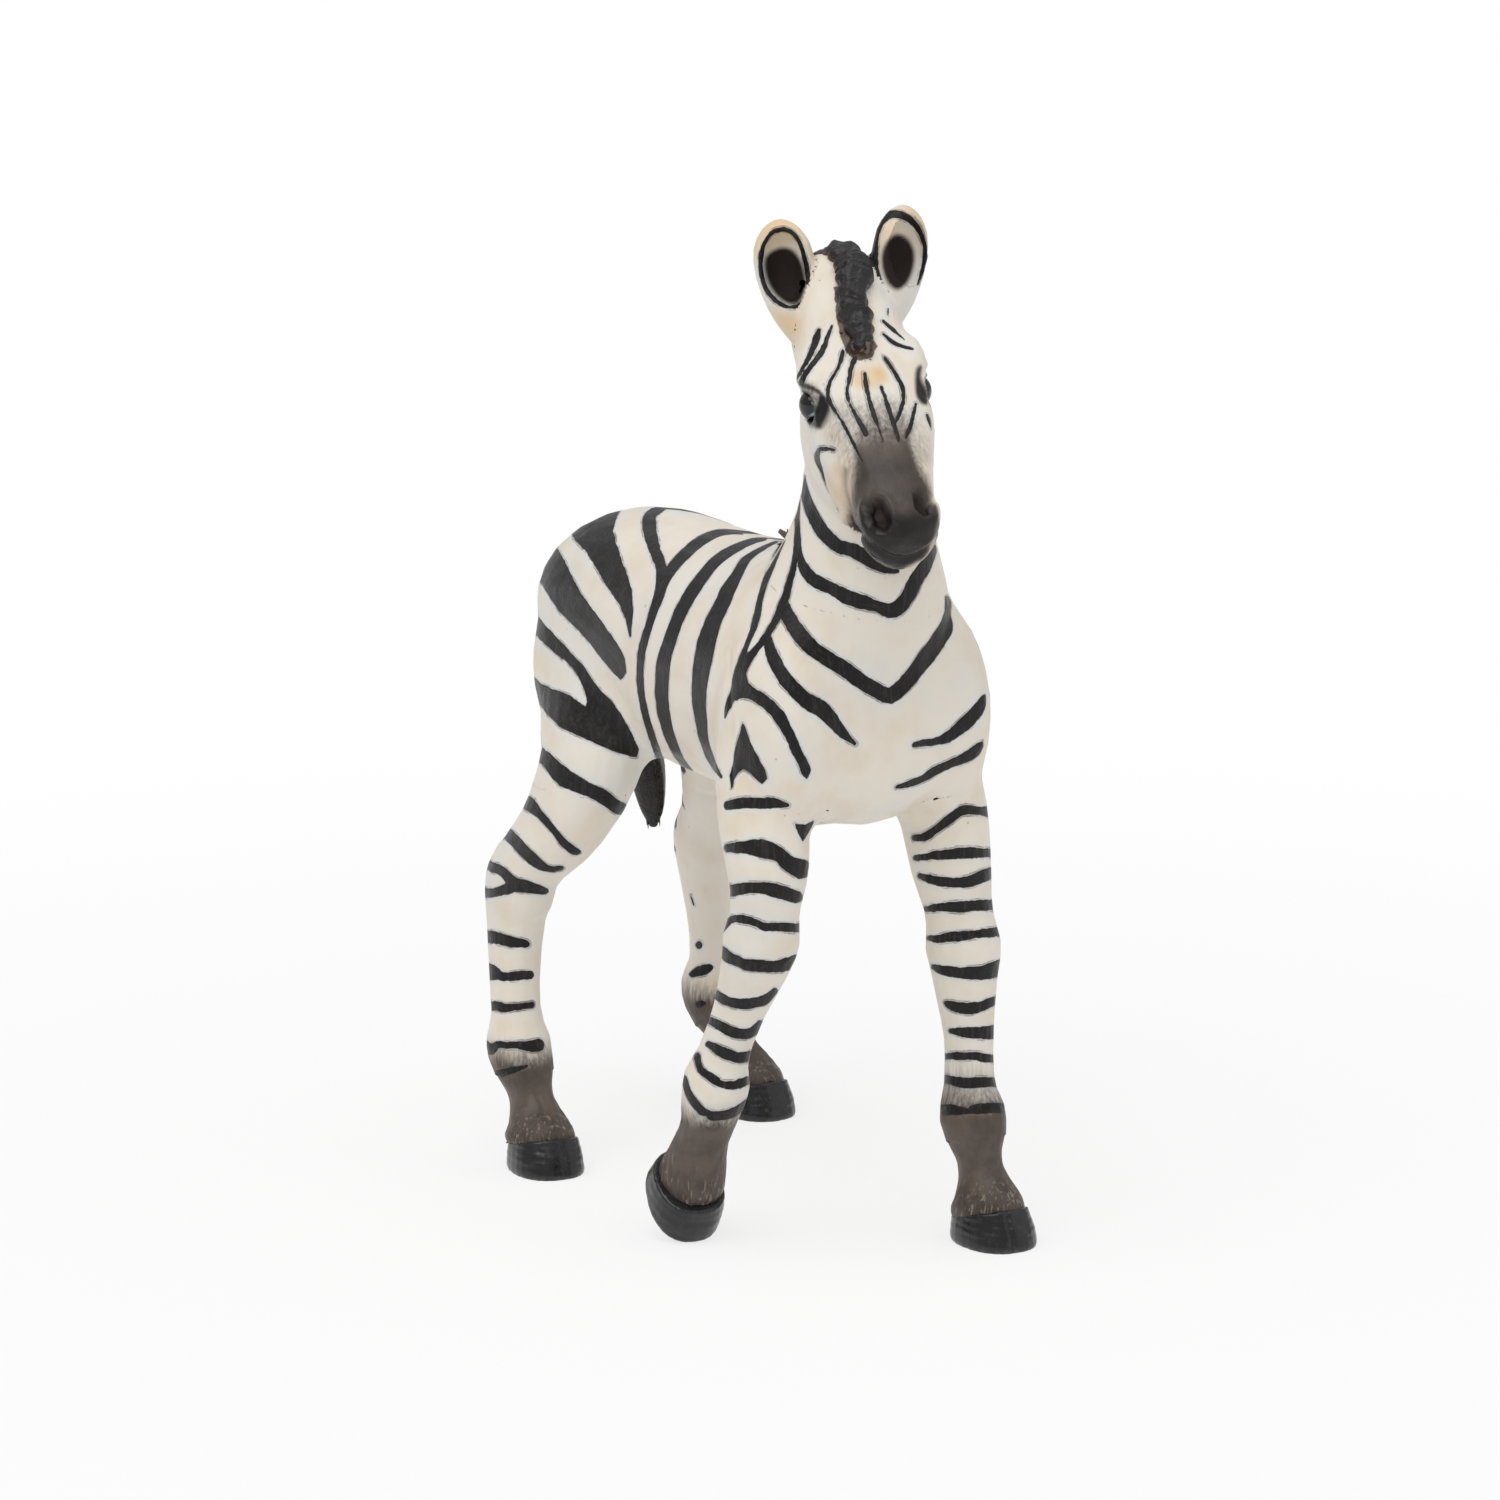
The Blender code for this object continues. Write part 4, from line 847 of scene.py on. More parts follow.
def finished_piece(
    name: str,
    points: np.ndarray,
    faces: np.ndarray,
    paints: dict[str, np.ndarray],
    material: bpy.types.Material,
    stands_for: Sequence[str],
    normals: np.ndarray | None = None,
) -> bpy.types.Object:
    """Turn a web into a piece of the scene that rides on the figure.

    Args:
        name: the piece's name.
        points: places in millimetres.
        faces: rows of corners.
        paints: values kept at each point for the material.
        material: its finish.
        stands_for: the nodes that it replaces.
        normals: shading normals, kept so that a seam doesn't show.

    Returns:
        The piece.
    """
    mesh = bpy.data.meshes.new(name)
    mesh.from_pydata(points * MM, [], faces.tolist())
    for title, values in paints.items():
        layer = mesh.attributes.new(title, "FLOAT", "POINT")
        layer.data.foreach_set("value", np.ascontiguousarray(values, dtype=np.float32))
    item = bpy.data.objects.new(name, mesh)
    bpy.context.scene.collection.objects.link(item)
    close_holes(item)
    mesh.shade_smooth()
    if normals is not None:
        mesh.normals_split_custom_set_from_vertices(normals.tolist())
    mesh.materials.append(material)
    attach(item, BODY)
    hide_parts(*stands_for)
    log.info("%s: %d faces", name, len(mesh.polygons))
    return item


def close_holes(item: bpy.types.Object) -> None:
    """Cap every open edge of a piece, so that it is one closed body."""
    bm = bmesh.new()
    bm.from_mesh(item.data)
    open_edges = [edge for edge in bm.edges if edge.is_boundary]
    if open_edges:
        caps = bmesh.ops.holes_fill(bm, edges=open_edges, sides=0)["faces"]
        bmesh.ops.triangulate(bm, faces=caps)
        bm.to_mesh(item.data)
    bm.free()


class Wire:
    """A socket's value that takes part in sums."""

    def __init__(self, bench: "Bench", socket: bpy.types.NodeSocket) -> None:
        """Hold the socket and the tree that it is in."""
        self.bench = bench
        self.socket = socket

    def _join(self, operation: str, *values: Any) -> "Wire":
        """One Math node on some values."""
        return self.bench.add("ShaderNodeMath", {"operation": operation}, dict(enumerate(values)))

    def __add__(self, other: Any) -> "Wire":
        """Add."""
        return self._join("ADD", self, other)

    __radd__ = __add__

    def __sub__(self, other: Any) -> "Wire":
        """Take away."""
        return self._join("SUBTRACT", self, other)

    def __rsub__(self, other: Any) -> "Wire":
        """Take this away from the other."""
        return self._join("SUBTRACT", other, self)

    def __mul__(self, other: Any) -> "Wire":
        """Multiply."""
        return self._join("MULTIPLY", self, other)

    __rmul__ = __mul__

    def __abs__(self) -> "Wire":
        """Drop the sign."""
        return self._join("ABSOLUTE", self)

    def least(self, other: Any) -> "Wire":
        """The smaller of two."""
        return self._join("MINIMUM", self, other)

    def most(self, other: Any) -> "Wire":
        """The larger of two."""
        return self._join("MAXIMUM", self, other)

    def ease(self, low: float, high: float) -> "Wire":
        """Ease from 0 at low to 1 at high, where high may be below low.

        Args:
            low: the value that becomes 0.
            high: the value that becomes 1.

        Returns:
            The eased value.
        """
        values = {"Value": self, "From Min": low, "From Max": high}
        if high < low:
            values = {"Value": self, "From Min": high, "From Max": low}
            values.update({"To Min": 1.0, "To Max": 0.0})
        return self.bench.add("ShaderNodeMapRange", {"interpolation_type": "SMOOTHSTEP"}, values)


class Bench:
    """Builds one material's nodes."""

    def __init__(self, name: str) -> None:
        """Start an empty material."""
        self.material = bpy.data.materials.new(name)
        self.material.use_nodes = True
        self.tree = self.material.node_tree
        self.tree.nodes.clear()
        self._object_places: Wire | None = None

    def add(
        self, kind: str, settings: dict[str, Any], values: dict[Any, Any], output: Any = 0,
    ) -> Wire:
        """Add one node.

        Args:
            kind: the node's type.
            settings: its properties, set before its sockets.
            values: numbers, colours or wires by socket name or number.
            output: the socket that comes back.

        Returns:
            The chosen output.
        """
        node = self.tree.nodes.new(kind)
        for title, value in settings.items():
            setattr(node, title, value)
        for title, value in values.items():
            if isinstance(value, Wire):
                self.tree.links.new(value.socket, node.inputs[title])
            else:
                node.inputs[title].default_value = value
        return Wire(self, node.outputs[output]) if node.outputs else Wire(self, None)

    def painted(self, title: str) -> Wire:
        """A value kept at the piece's points."""
        return self.add("ShaderNodeAttribute", {"attribute_name": title}, {}, "Fac")

    def places(self) -> Wire:
        """The piece's own places, in metres."""
        if self._object_places is None:
            self._object_places = self.add("ShaderNodeTexCoord", {}, {}, "Object")
        return self._object_places

    def stretched(self, scale: tuple[float, float, float]) -> Wire:
        """The piece's places, scaled along each axis."""
        values = {0: self.places(), 1: scale}
        return self.add("ShaderNodeVectorMath", {"operation": "MULTIPLY"}, values)

    def noise(self, places: Wire, scale: float, detail: float = 3.0, rough: float = 0.5) -> Wire:
        """Cloudy noise from 0 to 1."""
        values = {"Vector": places, "Scale": scale, "Detail": detail, "Roughness": rough}
        return self.add("ShaderNodeTexNoise", {}, values, "Fac")

    def specks(self, places: Wire, scale: float) -> Wire:
        """Distance to the nearest of many scattered spots."""
        values = {"Vector": places, "Scale": scale}
        return self.add("ShaderNodeTexVoronoi", {"feature": "F1"}, values, "Distance")

    def blend(self, share: Any, first: Any, second: Any) -> Wire:
        """A colour between two colours."""
        settings = {"data_type": "RGBA", "clamp_factor": True}
        return self.add("ShaderNodeMix", settings, {0: share, 6: first, 7: second}, 2)

    def bump(self, height: Wire, distance: float) -> Wire:
        """A normal that follows a height."""
        values = {"Height": height, "Distance": distance, "Strength": 1.0}
        return self.add("ShaderNodeBump", {}, values)

    def finish(self, values: dict[str, Any]) -> bpy.types.Material:
        """Close the material with a Principled shader.

        Args:
            values: the shader's sockets.

        Returns:
            The material.
        """
        shader = self.add("ShaderNodeBsdfPrincipled", {}, values)
        self.add("ShaderNodeOutputMaterial", {}, {"Surface": shader})
        return self.material


@dataclass(frozen=True)
class CoatFinish:
    """Satin ivory vinyl with painted stripes, shaded muzzle and socks, painted shade round the eyes
    and mouth, and engraved hair.
    """

    ivory: tuple[float, ...] = paint_colour(238, 230, 216)
    cool: tuple[float, ...] = paint_colour(222, 226, 228)
    warm: tuple[float, ...] = paint_colour(229, 211, 186)
    ochre: tuple[float, ...] = paint_colour(224, 184, 122)
    stripe: tuple[float, ...] = paint_colour(22, 20, 20)
    hair_line: tuple[float, ...] = paint_colour(58, 53, 52)
    stripe_brown: tuple[float, ...] = paint_colour(66, 52, 42)
    line: tuple[float, ...] = paint_colour(120, 92, 70)
    sock: tuple[float, ...] = paint_colour(101, 90, 82)
    dusk: tuple[float, ...] = paint_colour(66, 57, 52)
    straw: tuple[float, ...] = paint_colour(152, 140, 127)
    night: tuple[float, ...] = paint_colour(28, 26, 27)
    pit: tuple[float, ...] = paint_colour(34, 23, 19)
    fuzz: tuple[float, ...] = paint_colour(84, 62, 50)
    roughness: float = 0.44

    def build(self) -> bpy.types.Material:
        """Make the material.

        Returns:
            The coat's material.
        """
        bench = Bench("foal_coat")
        here = bench.places()
        gap = bench.painted("stripe")
        fray = bench.noise(here, 2300.0, 3.0, 0.6) - 0.5
        edge = gap + fray * 2.6 + (bench.noise(here, 640.0, 2.0) - 0.5) * 3.0
        cloud = bench.noise(here, 190.0, 4.0)
        patchy = bench.noise(here, 90.0, 2.0)
        broken = bench.noise(here, 520.0, 3.0)
        colour = bench.blend(cloud.ease(0.42, 0.7) * 0.55, self.ivory, self.warm)
        colour = bench.blend(edge.ease(9.0, 0.5) * (0.25 + patchy * 0.6), colour, self.cool)
        colour = bench.blend(patchy.ease(0.45, 0.75) * 0.5, colour, self.cool)
        colour = bench.blend(bench.painted("ochre") * cloud.ease(0.2, 0.6), colour, self.ochre)
        hair = bench.noise(bench.stretched((1.0, 1.0, 0.09)), 3700.0, 3.0, 0.6)
        grey = bench.painted("grey")
        wisp = bench.painted("wisp")
        streaks = (hair - 0.5) * grey * (1.0 - grey) * (5.0 - wisp * 3.0)
        grey_share = (grey * 1.1 + (broken - 0.5) * 0.4 * grey + streaks).least(1.0).most(0.0)
        greyed = bench.blend(broken.ease(0.35, 0.7) * 0.6 + wisp * 0.3, self.sock, self.dusk)
        greyed = bench.blend(hair.ease(0.55, 0.66) * wisp * 0.7, greyed, self.straw)
        colour = bench.blend(grey_share, colour, greyed)
        rim = abs(edge - 1.3).ease(1.0, 0.1) * broken.ease(0.46, 0.62)
        colour = bench.blend(rim * 0.75 * (1.0 - grey_share * 0.6), colour, self.line)
        smudge = edge.ease(3.5, 0.2) * bench.noise(here, 330.0, 2.0).ease(0.5, 0.7)
        colour = bench.blend(smudge * 0.55, colour, self.line)
        flecks = bench.specks(here, 520.0).ease(0.1, 0.04)
        flecks = flecks * bench.noise(here, 330.0, 1.0).ease(0.55, 0.7)
        colour = bench.blend(flecks * 0.6, colour, self.line)
        drift = bench.noise(here, 160.0, 1.0) * 7.0
        lanes = bench.add("ShaderNodeCombineXYZ", {}, {0: gap * 0.55, 1: drift, 2: 0.0})
        grooves = bench.noise(lanes, 1.6, 2.0, 0.6)
        worn = grooves.ease(0.56, 0.7) * bench.noise(here, 420.0, 2.0).ease(0.45, 0.62)
        inked = bench.blend(hair.ease(0.5, 0.66) * 0.5, self.stripe, self.hair_line)
        inked = bench.blend(worn * 0.75, inked, self.stripe_brown)
        ink = edge.ease(0.55, -0.55)
        colour = bench.blend(ink, colour, inked)
        fluff = bench.painted("fuzz") + (bench.noise(here, 1700.0, 3.0) - 0.5) * 1.1
        colour = bench.blend(fluff.ease(0.4, 0.7) * 0.9, colour, self.fuzz)
        # The dark attribute is black paint on the nose and lids, and painted shade in the mouth's
        # corners and round the eyes.
        colour = bench.blend(bench.painted("dark"), colour, self.night)
        colour = bench.blend(bench.painted("pit"), colour, self.pit)
        shine = bench.noise(here, 900.0, 3.0)
        dark = bench.painted("dark")
        rough = self.roughness + (shine - 0.5) * 0.22 - ink * 0.08 - dark * 0.2
        rough = rough + bench.painted("pit") * 0.3
        height = grooves * ink * 0.8 + hair * (0.3 + wisp * 1.3 + grey * 0.25) + shine * 0.25
        height = height + bench.noise(here, 360.0, 2.0) * 1.7
        height = height - abs(edge).ease(1.6, 0.2) * 0.7 - ink * 0.3
        grain = bench.noise(here, 5200.0, 2.0) * (0.1 + ink * 0.5 + dark * 0.3)
        return bench.finish({
            "Base Color": colour, "Roughness": rough, "Normal": bench.bump(height + grain, 0.00006),
            "Specular IOR Level": 0.27,
        })


@dataclass(frozen=True)
class HoofFinish:
    """Glossy black paint over growth rings."""

    black: tuple[float, ...] = paint_colour(17, 17, 19)
    slate: tuple[float, ...] = paint_colour(40, 41, 46)
    dust: tuple[float, ...] = paint_colour(86, 80, 76)

    def build(self) -> bpy.types.Material:
        """Make the material.

        Returns:
            The hooves' material.
        """
        bench = Bench("foal_hoof")
        here = bench.places()
        rise = bench.painted("rise")
        mottle = bench.noise(here, 900.0, 4.0, 0.65)
        climb = bench.add("ShaderNodeCombineXYZ", {}, {0: rise * 9.0, 1: mottle * 0.7, 2: 0.0})
        rings = bench.noise(climb, 1.0, 2.0)
        colour = bench.blend(mottle.ease(0.45, 0.72) * 0.8, self.black, self.slate)
        colour = bench.blend(rings.ease(0.6, 0.75) * 0.12, colour, self.slate)
        chips = bench.specks(here, 700.0).ease(0.16, 0.06)
        chips = chips * bench.noise(here, 500.0, 1.0).ease(0.52, 0.66)
        colour = bench.blend(chips * 0.6, colour, self.dust)
        colour = bench.blend(rise.ease(0.14, 0.02) * mottle.ease(0.4, 0.6) * 0.6, colour, self.dust)
        rough = 0.27 + (mottle - 0.5) * 0.3
        height = rings * 0.3 + mottle * 0.45 + bench.noise(here, 3800.0, 2.0) * 0.2
        return bench.finish({
            "Base Color": colour, "Roughness": rough, "Normal": bench.bump(height, 0.00007),
            "Specular IOR Level": 0.5, "Coat Weight": 0.12, "Coat Roughness": 0.2,
        })


@dataclass(frozen=True)
class ManeFinish:
    """Charcoal paint on moulded hair, browner at the roots."""

    charcoal: tuple[float, ...] = paint_colour(38, 35, 35)
    coal: tuple[float, ...] = paint_colour(22, 20, 21)
    brown: tuple[float, ...] = paint_colour(88, 66, 54)
    ivory: tuple[float, ...] = paint_colour(234, 226, 211)

    def build(self) -> bpy.types.Material:
        """Make the material.

        Returns:
            The mane's material.
        """
        bench = Bench("foal_mane")
        here = bench.places()
        clumps = bench.noise(here, 1500.0, 4.0, 0.6)
        colour = bench.blend(clumps.ease(0.35, 0.65), self.coal, self.charcoal)
        root = bench.painted("root") + (bench.noise(here, 1900.0, 3.0) - 0.5) * 0.7
        colour = bench.blend(root.ease(0.45, 0.8) * 0.85, colour, self.brown)
        pale = bench.painted("pale") + (bench.noise(here, 1500.0, 3.0) - 0.5) * 0.5
        colour = bench.blend(pale.ease(0.4, 0.6), colour, self.ivory)
        rough = 0.3 + (clumps - 0.5) * 0.3
        height = clumps + bench.noise(here, 4600.0, 2.0) * 0.4
        return bench.finish({
            "Base Color": colour, "Roughness": rough, "Normal": bench.bump(height, 0.00018),
            "Specular IOR Level": 0.42,
        })


@dataclass(frozen=True)
class EyeFinish:
    """Wet black paint with a painted pale blue highlight."""

    black: tuple[float, ...] = paint_colour(12, 11, 12)
    iris: tuple[float, ...] = paint_colour(38, 32, 30)
    # The colour of the painted highlight on each eye.
    crescent: tuple[float, ...] = paint_colour(176, 196, 210)

    def build(self) -> bpy.types.Material:
        """Make the material.

        Returns:
            The eyes' material.
        """
        bench = Bench("foal_eye")
        depth = bench.noise(bench.places(), 1100.0, 2.0)
        colour = bench.blend(depth.ease(0.45, 0.7) * 0.7, self.black, self.iris)
        # Painted highlight: a pale crescent of colour that stands in for a reflection.
        colour = bench.blend(bench.painted("crescent"), colour, self.crescent)
        rough = 0.1 + depth * 0.05
        return bench.finish({
            "Base Color": colour, "Roughness": rough, "Specular IOR Level": 0.4,
            "Coat Weight": 0.3, "Coat Roughness": 0.04,
        })


@dataclass(frozen=True)
class Dent:
    """A place on the head or body that is pressed in or raised, on the photograph."""

    marks: Marks
    depth: float
    soft: float
    closed: bool = False

    def push(self, places: np.ndarray) -> np.ndarray:
        """How far each place moves out, in millimetres, less than zero where it sinks."""
        art = Artwork(patches=(self.marks,)) if self.closed else Artwork(strokes=(self.marks,))
        return self.depth * smooth_step(art.gaps(places, self.soft), self.soft, -self.soft * 0.5)


MOUTH_LINE: Marks = (
    (853, 526, 2), (860, 534, 2), (870, 545, 2.5), (888, 556, 3), (905, 560, 3), (925, 552, 2.5),
    (938, 540, 2),
)
HEAD_DENTS = (
    Dent(RIGHT_NOSTRIL, -1.0, 5.0, True),
    Dent(LEFT_NOSTRIL, -0.9, 5.0, True),
    Dent(((866, 496, 3), (862, 508, 4), (862, 522, 4), (868, 534, 3)), 0.16, 4.0),
    Dent(((876, 494, 3), (885, 497, 4), (892, 508, 4), (894, 522, 3)), 0.18, 4.0),
    Dent(MOUTH_LINE, -0.34, 3.0),
    Dent(((843, 470, 3), (842, 484, 4), (844, 498, 4), (853, 516, 2)), -0.2, 5.0),
    Dent(((820, 466, 1), (824, 483, 1.5), (830, 499, 1.5), (840, 514, 1)), -0.14, 2.5),
    Dent(((794, 384, 4), (804, 380, 5), (814, 383, 4)), 0.2, 6.0),
    Dent(((838, 408, 2), (846, 430, 3), (856, 456, 3), (862, 480, 2)), -0.14, 6.0),
)
BODY_DENTS = (
    Dent(((729, 650, 1), (729, 690, 1.5), (731, 735, 1.5), (731, 786, 1)), -0.2, 2.5),
    Dent(((806, 796, 1), (800, 812, 2), (802, 826, 1)), -0.16, 4.0),
    Dent(((680, 784, 1), (700, 793, 2), (728, 800, 1)), -0.14, 4.0),
    Dent(((742, 944, 2), (744, 962, 4), (745, 984, 2)), 0.14, 6.0),
    Dent(((960, 925, 2), (962, 948, 5), (962, 966, 2)), 0.16, 8.0),
    Dent(((526, 1075, 1), (540, 1098, 2), (548, 1116, 1)), -0.14, 4.0),
    Dent(((505, 952, 1), (508, 990, 2), (511, 1030, 1)), -0.1, 4.0),
)


@dataclass(frozen=True)
class EyeOpening:
    """How the skin opens over an eyeball and shades round it, in millimetres and shares."""

    half_sizes: tuple[float, float] = (1.12, 0.88)
    depth: float = 1.3
    out: float = 0.95
    ahead: float = 0.2
    reach: float = 3.4
    edge: tuple[float, float] = (1.05, 0.75)
    lid_height: float = 0.2
    lid_gain: float = 0.6
    lid_rise: tuple[float, float] = (-0.4, 0.8)
    lid_end: tuple[float, float] = (1.3, 0.2)
    lid_ring: float = 1.3
    lid_width: float = 0.24
    near: tuple[float, float] = (3.6, 2.6)
    behind: tuple[float, float] = (-2.5, -1.5)
    oval: tuple[float, float] = (2.5, 2.0)
    oval_edge: tuple[float, float] = (1.15, 0.6)


@dataclass(frozen=True)
class PasternForm:
    """The hair, flare and waist above a hoof, in millimetres from the hoof."""

    hair_depth: float = 0.13
    hair_scale: float = 0.85
    hair_length: float = 0.22
    hair_range: tuple[float, float] = (-0.6, 1.0)
    hair_end: tuple[float, float] = (4.2, 1.2)
    hair_start: tuple[float, float] = (-0.1, 0.7)
    flare: float = 0.4
    flare_place: float = 0.5
    flare_width: float = 1.1
    waist: float = 0.38
    waist_place: float = 4.0
    waist_width: float = 1.7
    tipped_share: float = 0.3
    fringe: float = 0.16
    fringe_waves: float = 0.10
    fringe_end: tuple[float, float] = (1.3, 0.5)
    fringe_start: tuple[float, float] = (-0.1, 0.35)
    join: tuple[float, float] = (1.0, 0.4)
    join_past: float = 0.12
    join_most: float = 0.6

    def push(self, near_hoof: np.ndarray, wisps: np.ndarray, even: np.ndarray) -> np.ndarray:
        """How far the skin above a hoof moves out.

        Args:
            near_hoof: how far each point is from its hoof.
            wisps: waves of hair from minus one to one.
            even: the share of the flare and waist that each point takes.

        Returns:
            One distance for each point.
        """
        hair = smooth_step(near_hoof, *self.hair_end) * smooth_step(near_hoof, *self.hair_start)
        push = -hair * self.hair_depth * np.clip(wisps, *self.hair_range)
        push += even * self.flare * bell(near_hoof, self.flare_place, self.flare_width)
        push -= even * self.waist * bell(near_hoof, self.waist_place, self.waist_width)
        fringe = smooth_step(near_hoof, *self.fringe_end)
        fringe *= smooth_step(near_hoof, *self.fringe_start)
        return push + fringe * (self.fringe + self.fringe_waves * wisps)


@dataclass
class FoalSkin:
    """The moulded coat: one smooth skin over body, head and legs, cut where the solids meet."""

    voxel: float = 0.17
    closing: float = 0.21
    smoothing: int = 46
    ear_smoothing: float = 0.35
    sunk: float = 0.5
    ramp: float = 34.0
    bleed: float = 1.1
    face_thinning: float = 0.3
    reach: float = 14.0
    jaw_depth: float = 6.3
    girth: float = 3.0
    neck_base: tuple[float, float] = (51.5, 53.5)
    withers: tuple[float, float] = (-6.0, -8.5)
    neck_turn: tuple[float, float] = (0.13, 0.07)
    rump_start: tuple[float, float] = (10.0, 13.0)
    rump_base: tuple[float, float] = (34.5, 37.0)
    rump_turn: tuple[float, float] = (0.02, -0.06)
    flank_turn: tuple[float, float] = (0.16, 0.08)
    thigh_start: tuple[float, float] = (2.0, 12.0)
    thigh_top: tuple[float, float] = (46.0, 34.0)
    hidden_reach: float = 1.2
    least_slope: float = 2.0
    most_stretch: float = 4.0
    ears_turned: float = -0.35
    muzzle_start: tuple[float, float] = (10.0, 18.0)
    muzzle_dusk: tuple[float, float] = (15.5, 18.5)
    nose_start: tuple[float, float] = (13.5, 16.5)
    nostril_start: tuple[float, float] = (14.0, 16.0)
    ear_glow: tuple[float, float] = (1.0, 7.0)
    wisp_reach: tuple[float, float] = (3.9, 1.2)
    opening: EyeOpening = EyeOpening()
    pastern: PasternForm = PasternForm()
    sock_heights: dict[Leg, tuple[float, float]] = field(default_factory=lambda: {
        Leg.FRONT_LEFT: (15.6, 9.6), Leg.FRONT_RIGHT: (13.4, 9.8),
        Leg.HIND_LEFT: (12.0, 8.4), Leg.HIND_RIGHT: (11.6, 8.0),
    })
    names: tuple[str, ...] = SKIN_NODES + FILLER_NODES
    web: Web = field(init=False)
    label: np.ndarray = field(init=False)
    head: np.ndarray = field(init=False)
    face: np.ndarray = field(init=False)
    ears_shown: np.ndarray = field(init=False)
    hidden_neck: np.ndarray = field(init=False)
    on_rump: np.ndarray = field(init=False)
    shown_rump: np.ndarray = field(init=False)
    pixels: np.ndarray = field(init=False)
    other_pixels: np.ndarray = field(init=False)
    direct_ramp: np.ndarray = field(init=False)
    other_ramp: np.ndarray = field(init=False)
    lids: np.ndarray = field(init=False)
    by_eye: np.ndarray = field(init=False)
    round_eye: np.ndarray = field(init=False)

    def build(self, material: bpy.types.Material) -> None:
        """Make every piece of the coat.

        Args:
            material: the coat's finish.
        """
        plug = self._tail_plug()
        shapes = [solid_copy(name, self.closing) for name in self.names] + [plug]
        self.web = remeshed(shapes, self.voxel)
        self.label = self._nearest(self.names)
        ear = self._is("left_ear", "right_ear")
        near_hoof = self._hoof_gaps()[0]
        share = np.where(ear, self.ear_smoothing, 1.0) * np.clip(near_hoof / 1.6, 0.12, 1.0)
        share = self.web.blurred(share, 12)
        self.web.relax(self.smoothing, share)
        self.web.points -= self.closing * self.web.normals()
        self._sink_fillers()
        self._read_photo()
        self._open_eyes()
        self._sculpt(near_hoof)
        paints = self._paints(near_hoof)
        self._cut(material, paints)

    def _tail_plug(self) -> bmesh.types.BMesh:
        """A ball that fills the tail's seat in the rump."""
        places = solid_points("tail")
        root = places[places[:, 1] < places[:, 1].min() + 1.2].mean(axis=0)
        ball = bmesh.new()
        bmesh.ops.create_uvsphere(ball, u_segments=16, v_segments=10, radius=1.5)
        bmesh.ops.translate(ball, vec=Vector(root), verts=ball.verts)
        return ball

    def _nearest(self, names: Sequence[str]) -> np.ndarray:
        """Which solid each point of the skin is nearest to, as a number in names."""
        places: list[tuple[float, ...]] = []
        faces: list[tuple[int, ...]] = []
        owner: list[int] = []
        for number, name in enumerate(names):
            bm = solid_copy(name, 0.0)
            bm.verts.ensure_lookup_table()
            start = len(places)
            places.extend(tuple(vert.co) for vert in bm.verts)
            for face in bm.faces:
                faces.append(tuple(start + vert.index for vert in face.verts))
                owner.append(number)
            bm.free()
        tree = BVHTree.FromPolygons(places, faces)
        return np.array([owner[tree.find_nearest(point)[2]] for point in self.web.points.tolist()])

    def _is(self, *names: str) -> np.ndarray:
        """Where the skin belongs to any of the named solids."""
        return np.isin(self.label, [self.names.index(name) for name in names])

    def _hoof_gaps(self) -> tuple[np.ndarray, np.ndarray]:
        """How far each point of a leg is from its hoof, and the way there."""
        gaps = np.full(len(self.web.points), FAR)
        ways = np.zeros((len(self.web.points), 3))
        for leg in Leg:
            bm = solid_copy(f"{leg.value}_hoof", 0.0)
            tree = BVHTree.FromBMesh(bm)
            for index in np.flatnonzero(self._is(f"{leg.value}_leg")):
                found = tree.find_nearest(Vector(self.web.points[index]), 6.0)
                if found[3] is not None:
                    gaps[index] = found[3]
                    ways[index] = np.array(found[0]) - self.web.points[index]
            bm.free()
        return gaps, ways / np.maximum(gaps, 1e-6)[:, None]

    def _sink_fillers(self) -> None:
        """Lower the skin where a piece of its own stands on it."""
        under = self._is(*FILLER_NODES).astype(float)
        pad = self._is("belly_pad").astype(float)
        depth = self.web.blurred(under * self.sunk - pad * self.sunk * 0.4, 2)
        self.web.points -= depth[:, None] * self.web.normals()

    def _open_eyes(self) -> None:
        """Press an opening over each eyeball and raise a lid above and behind it."""
        form, points = self.opening, self.web.points
        move = np.zeros_like(points)
        self.lids = np.full(len(points), FAR)
        self.by_eye = np.zeros(len(points))
        self.round_eye = np.zeros(len(points))
        for eye in EYES:
            outward, ahead, above = eye.axes()
            low, high = eye.box()
            away = points - (low + high) / 2.0 - outward * form.out - ahead * form.ahead
            forward, upward, far = away @ ahead, away @ above, np.linalg.norm(away, axis=1)
            ring = np.hypot(forward / form.half_sizes[0], upward / form.half_sizes[1])
            ring = np.where((far < form.reach) & self.head, ring, FAR)
            lid = form.lid_height * (1.0 + form.lid_gain * smooth_step(upward, *form.lid_rise))
            lid = lid * smooth_step(forward, *form.lid_end)
            pit = form.depth * smooth_step(ring, *form.edge)
            rise = lid * bell(ring, form.lid_ring, form.lid_width) - pit
            move += rise[:, None] * outward
            self.lids = np.minimum(self.lids, ring)
            near = smooth_step(far, *form.near) * smooth_step(forward, *form.behind)
            self.by_eye = np.maximum(self.by_eye, near)
            oval = np.hypot(forward / form.oval[0], upward / form.oval[1])
            oval = np.where(ring < FAR, oval, FAR)
            self.round_eye = np.maximum(self.round_eye, smooth_step(oval, *form.oval_edge))
        self.web.points = points + self.web.blurred(move, 1)

    def _leg_line(self, leg: Leg) -> np.ndarray:
        """Rows of height, aside and along for the middle of a leg."""
        places = solid_points(f"{leg.value}_leg")
        rows = []
        for height in np.arange(3.0, 36.0, 1.5):
            near = places[abs(places[:, 2] - height) < 1.6]
            if len(near) > 5:
                middle = (near.min(axis=0) + near.max(axis=0)) / 2.0
                rows.append((height, middle[0], middle[1]))
        return np.array(rows)

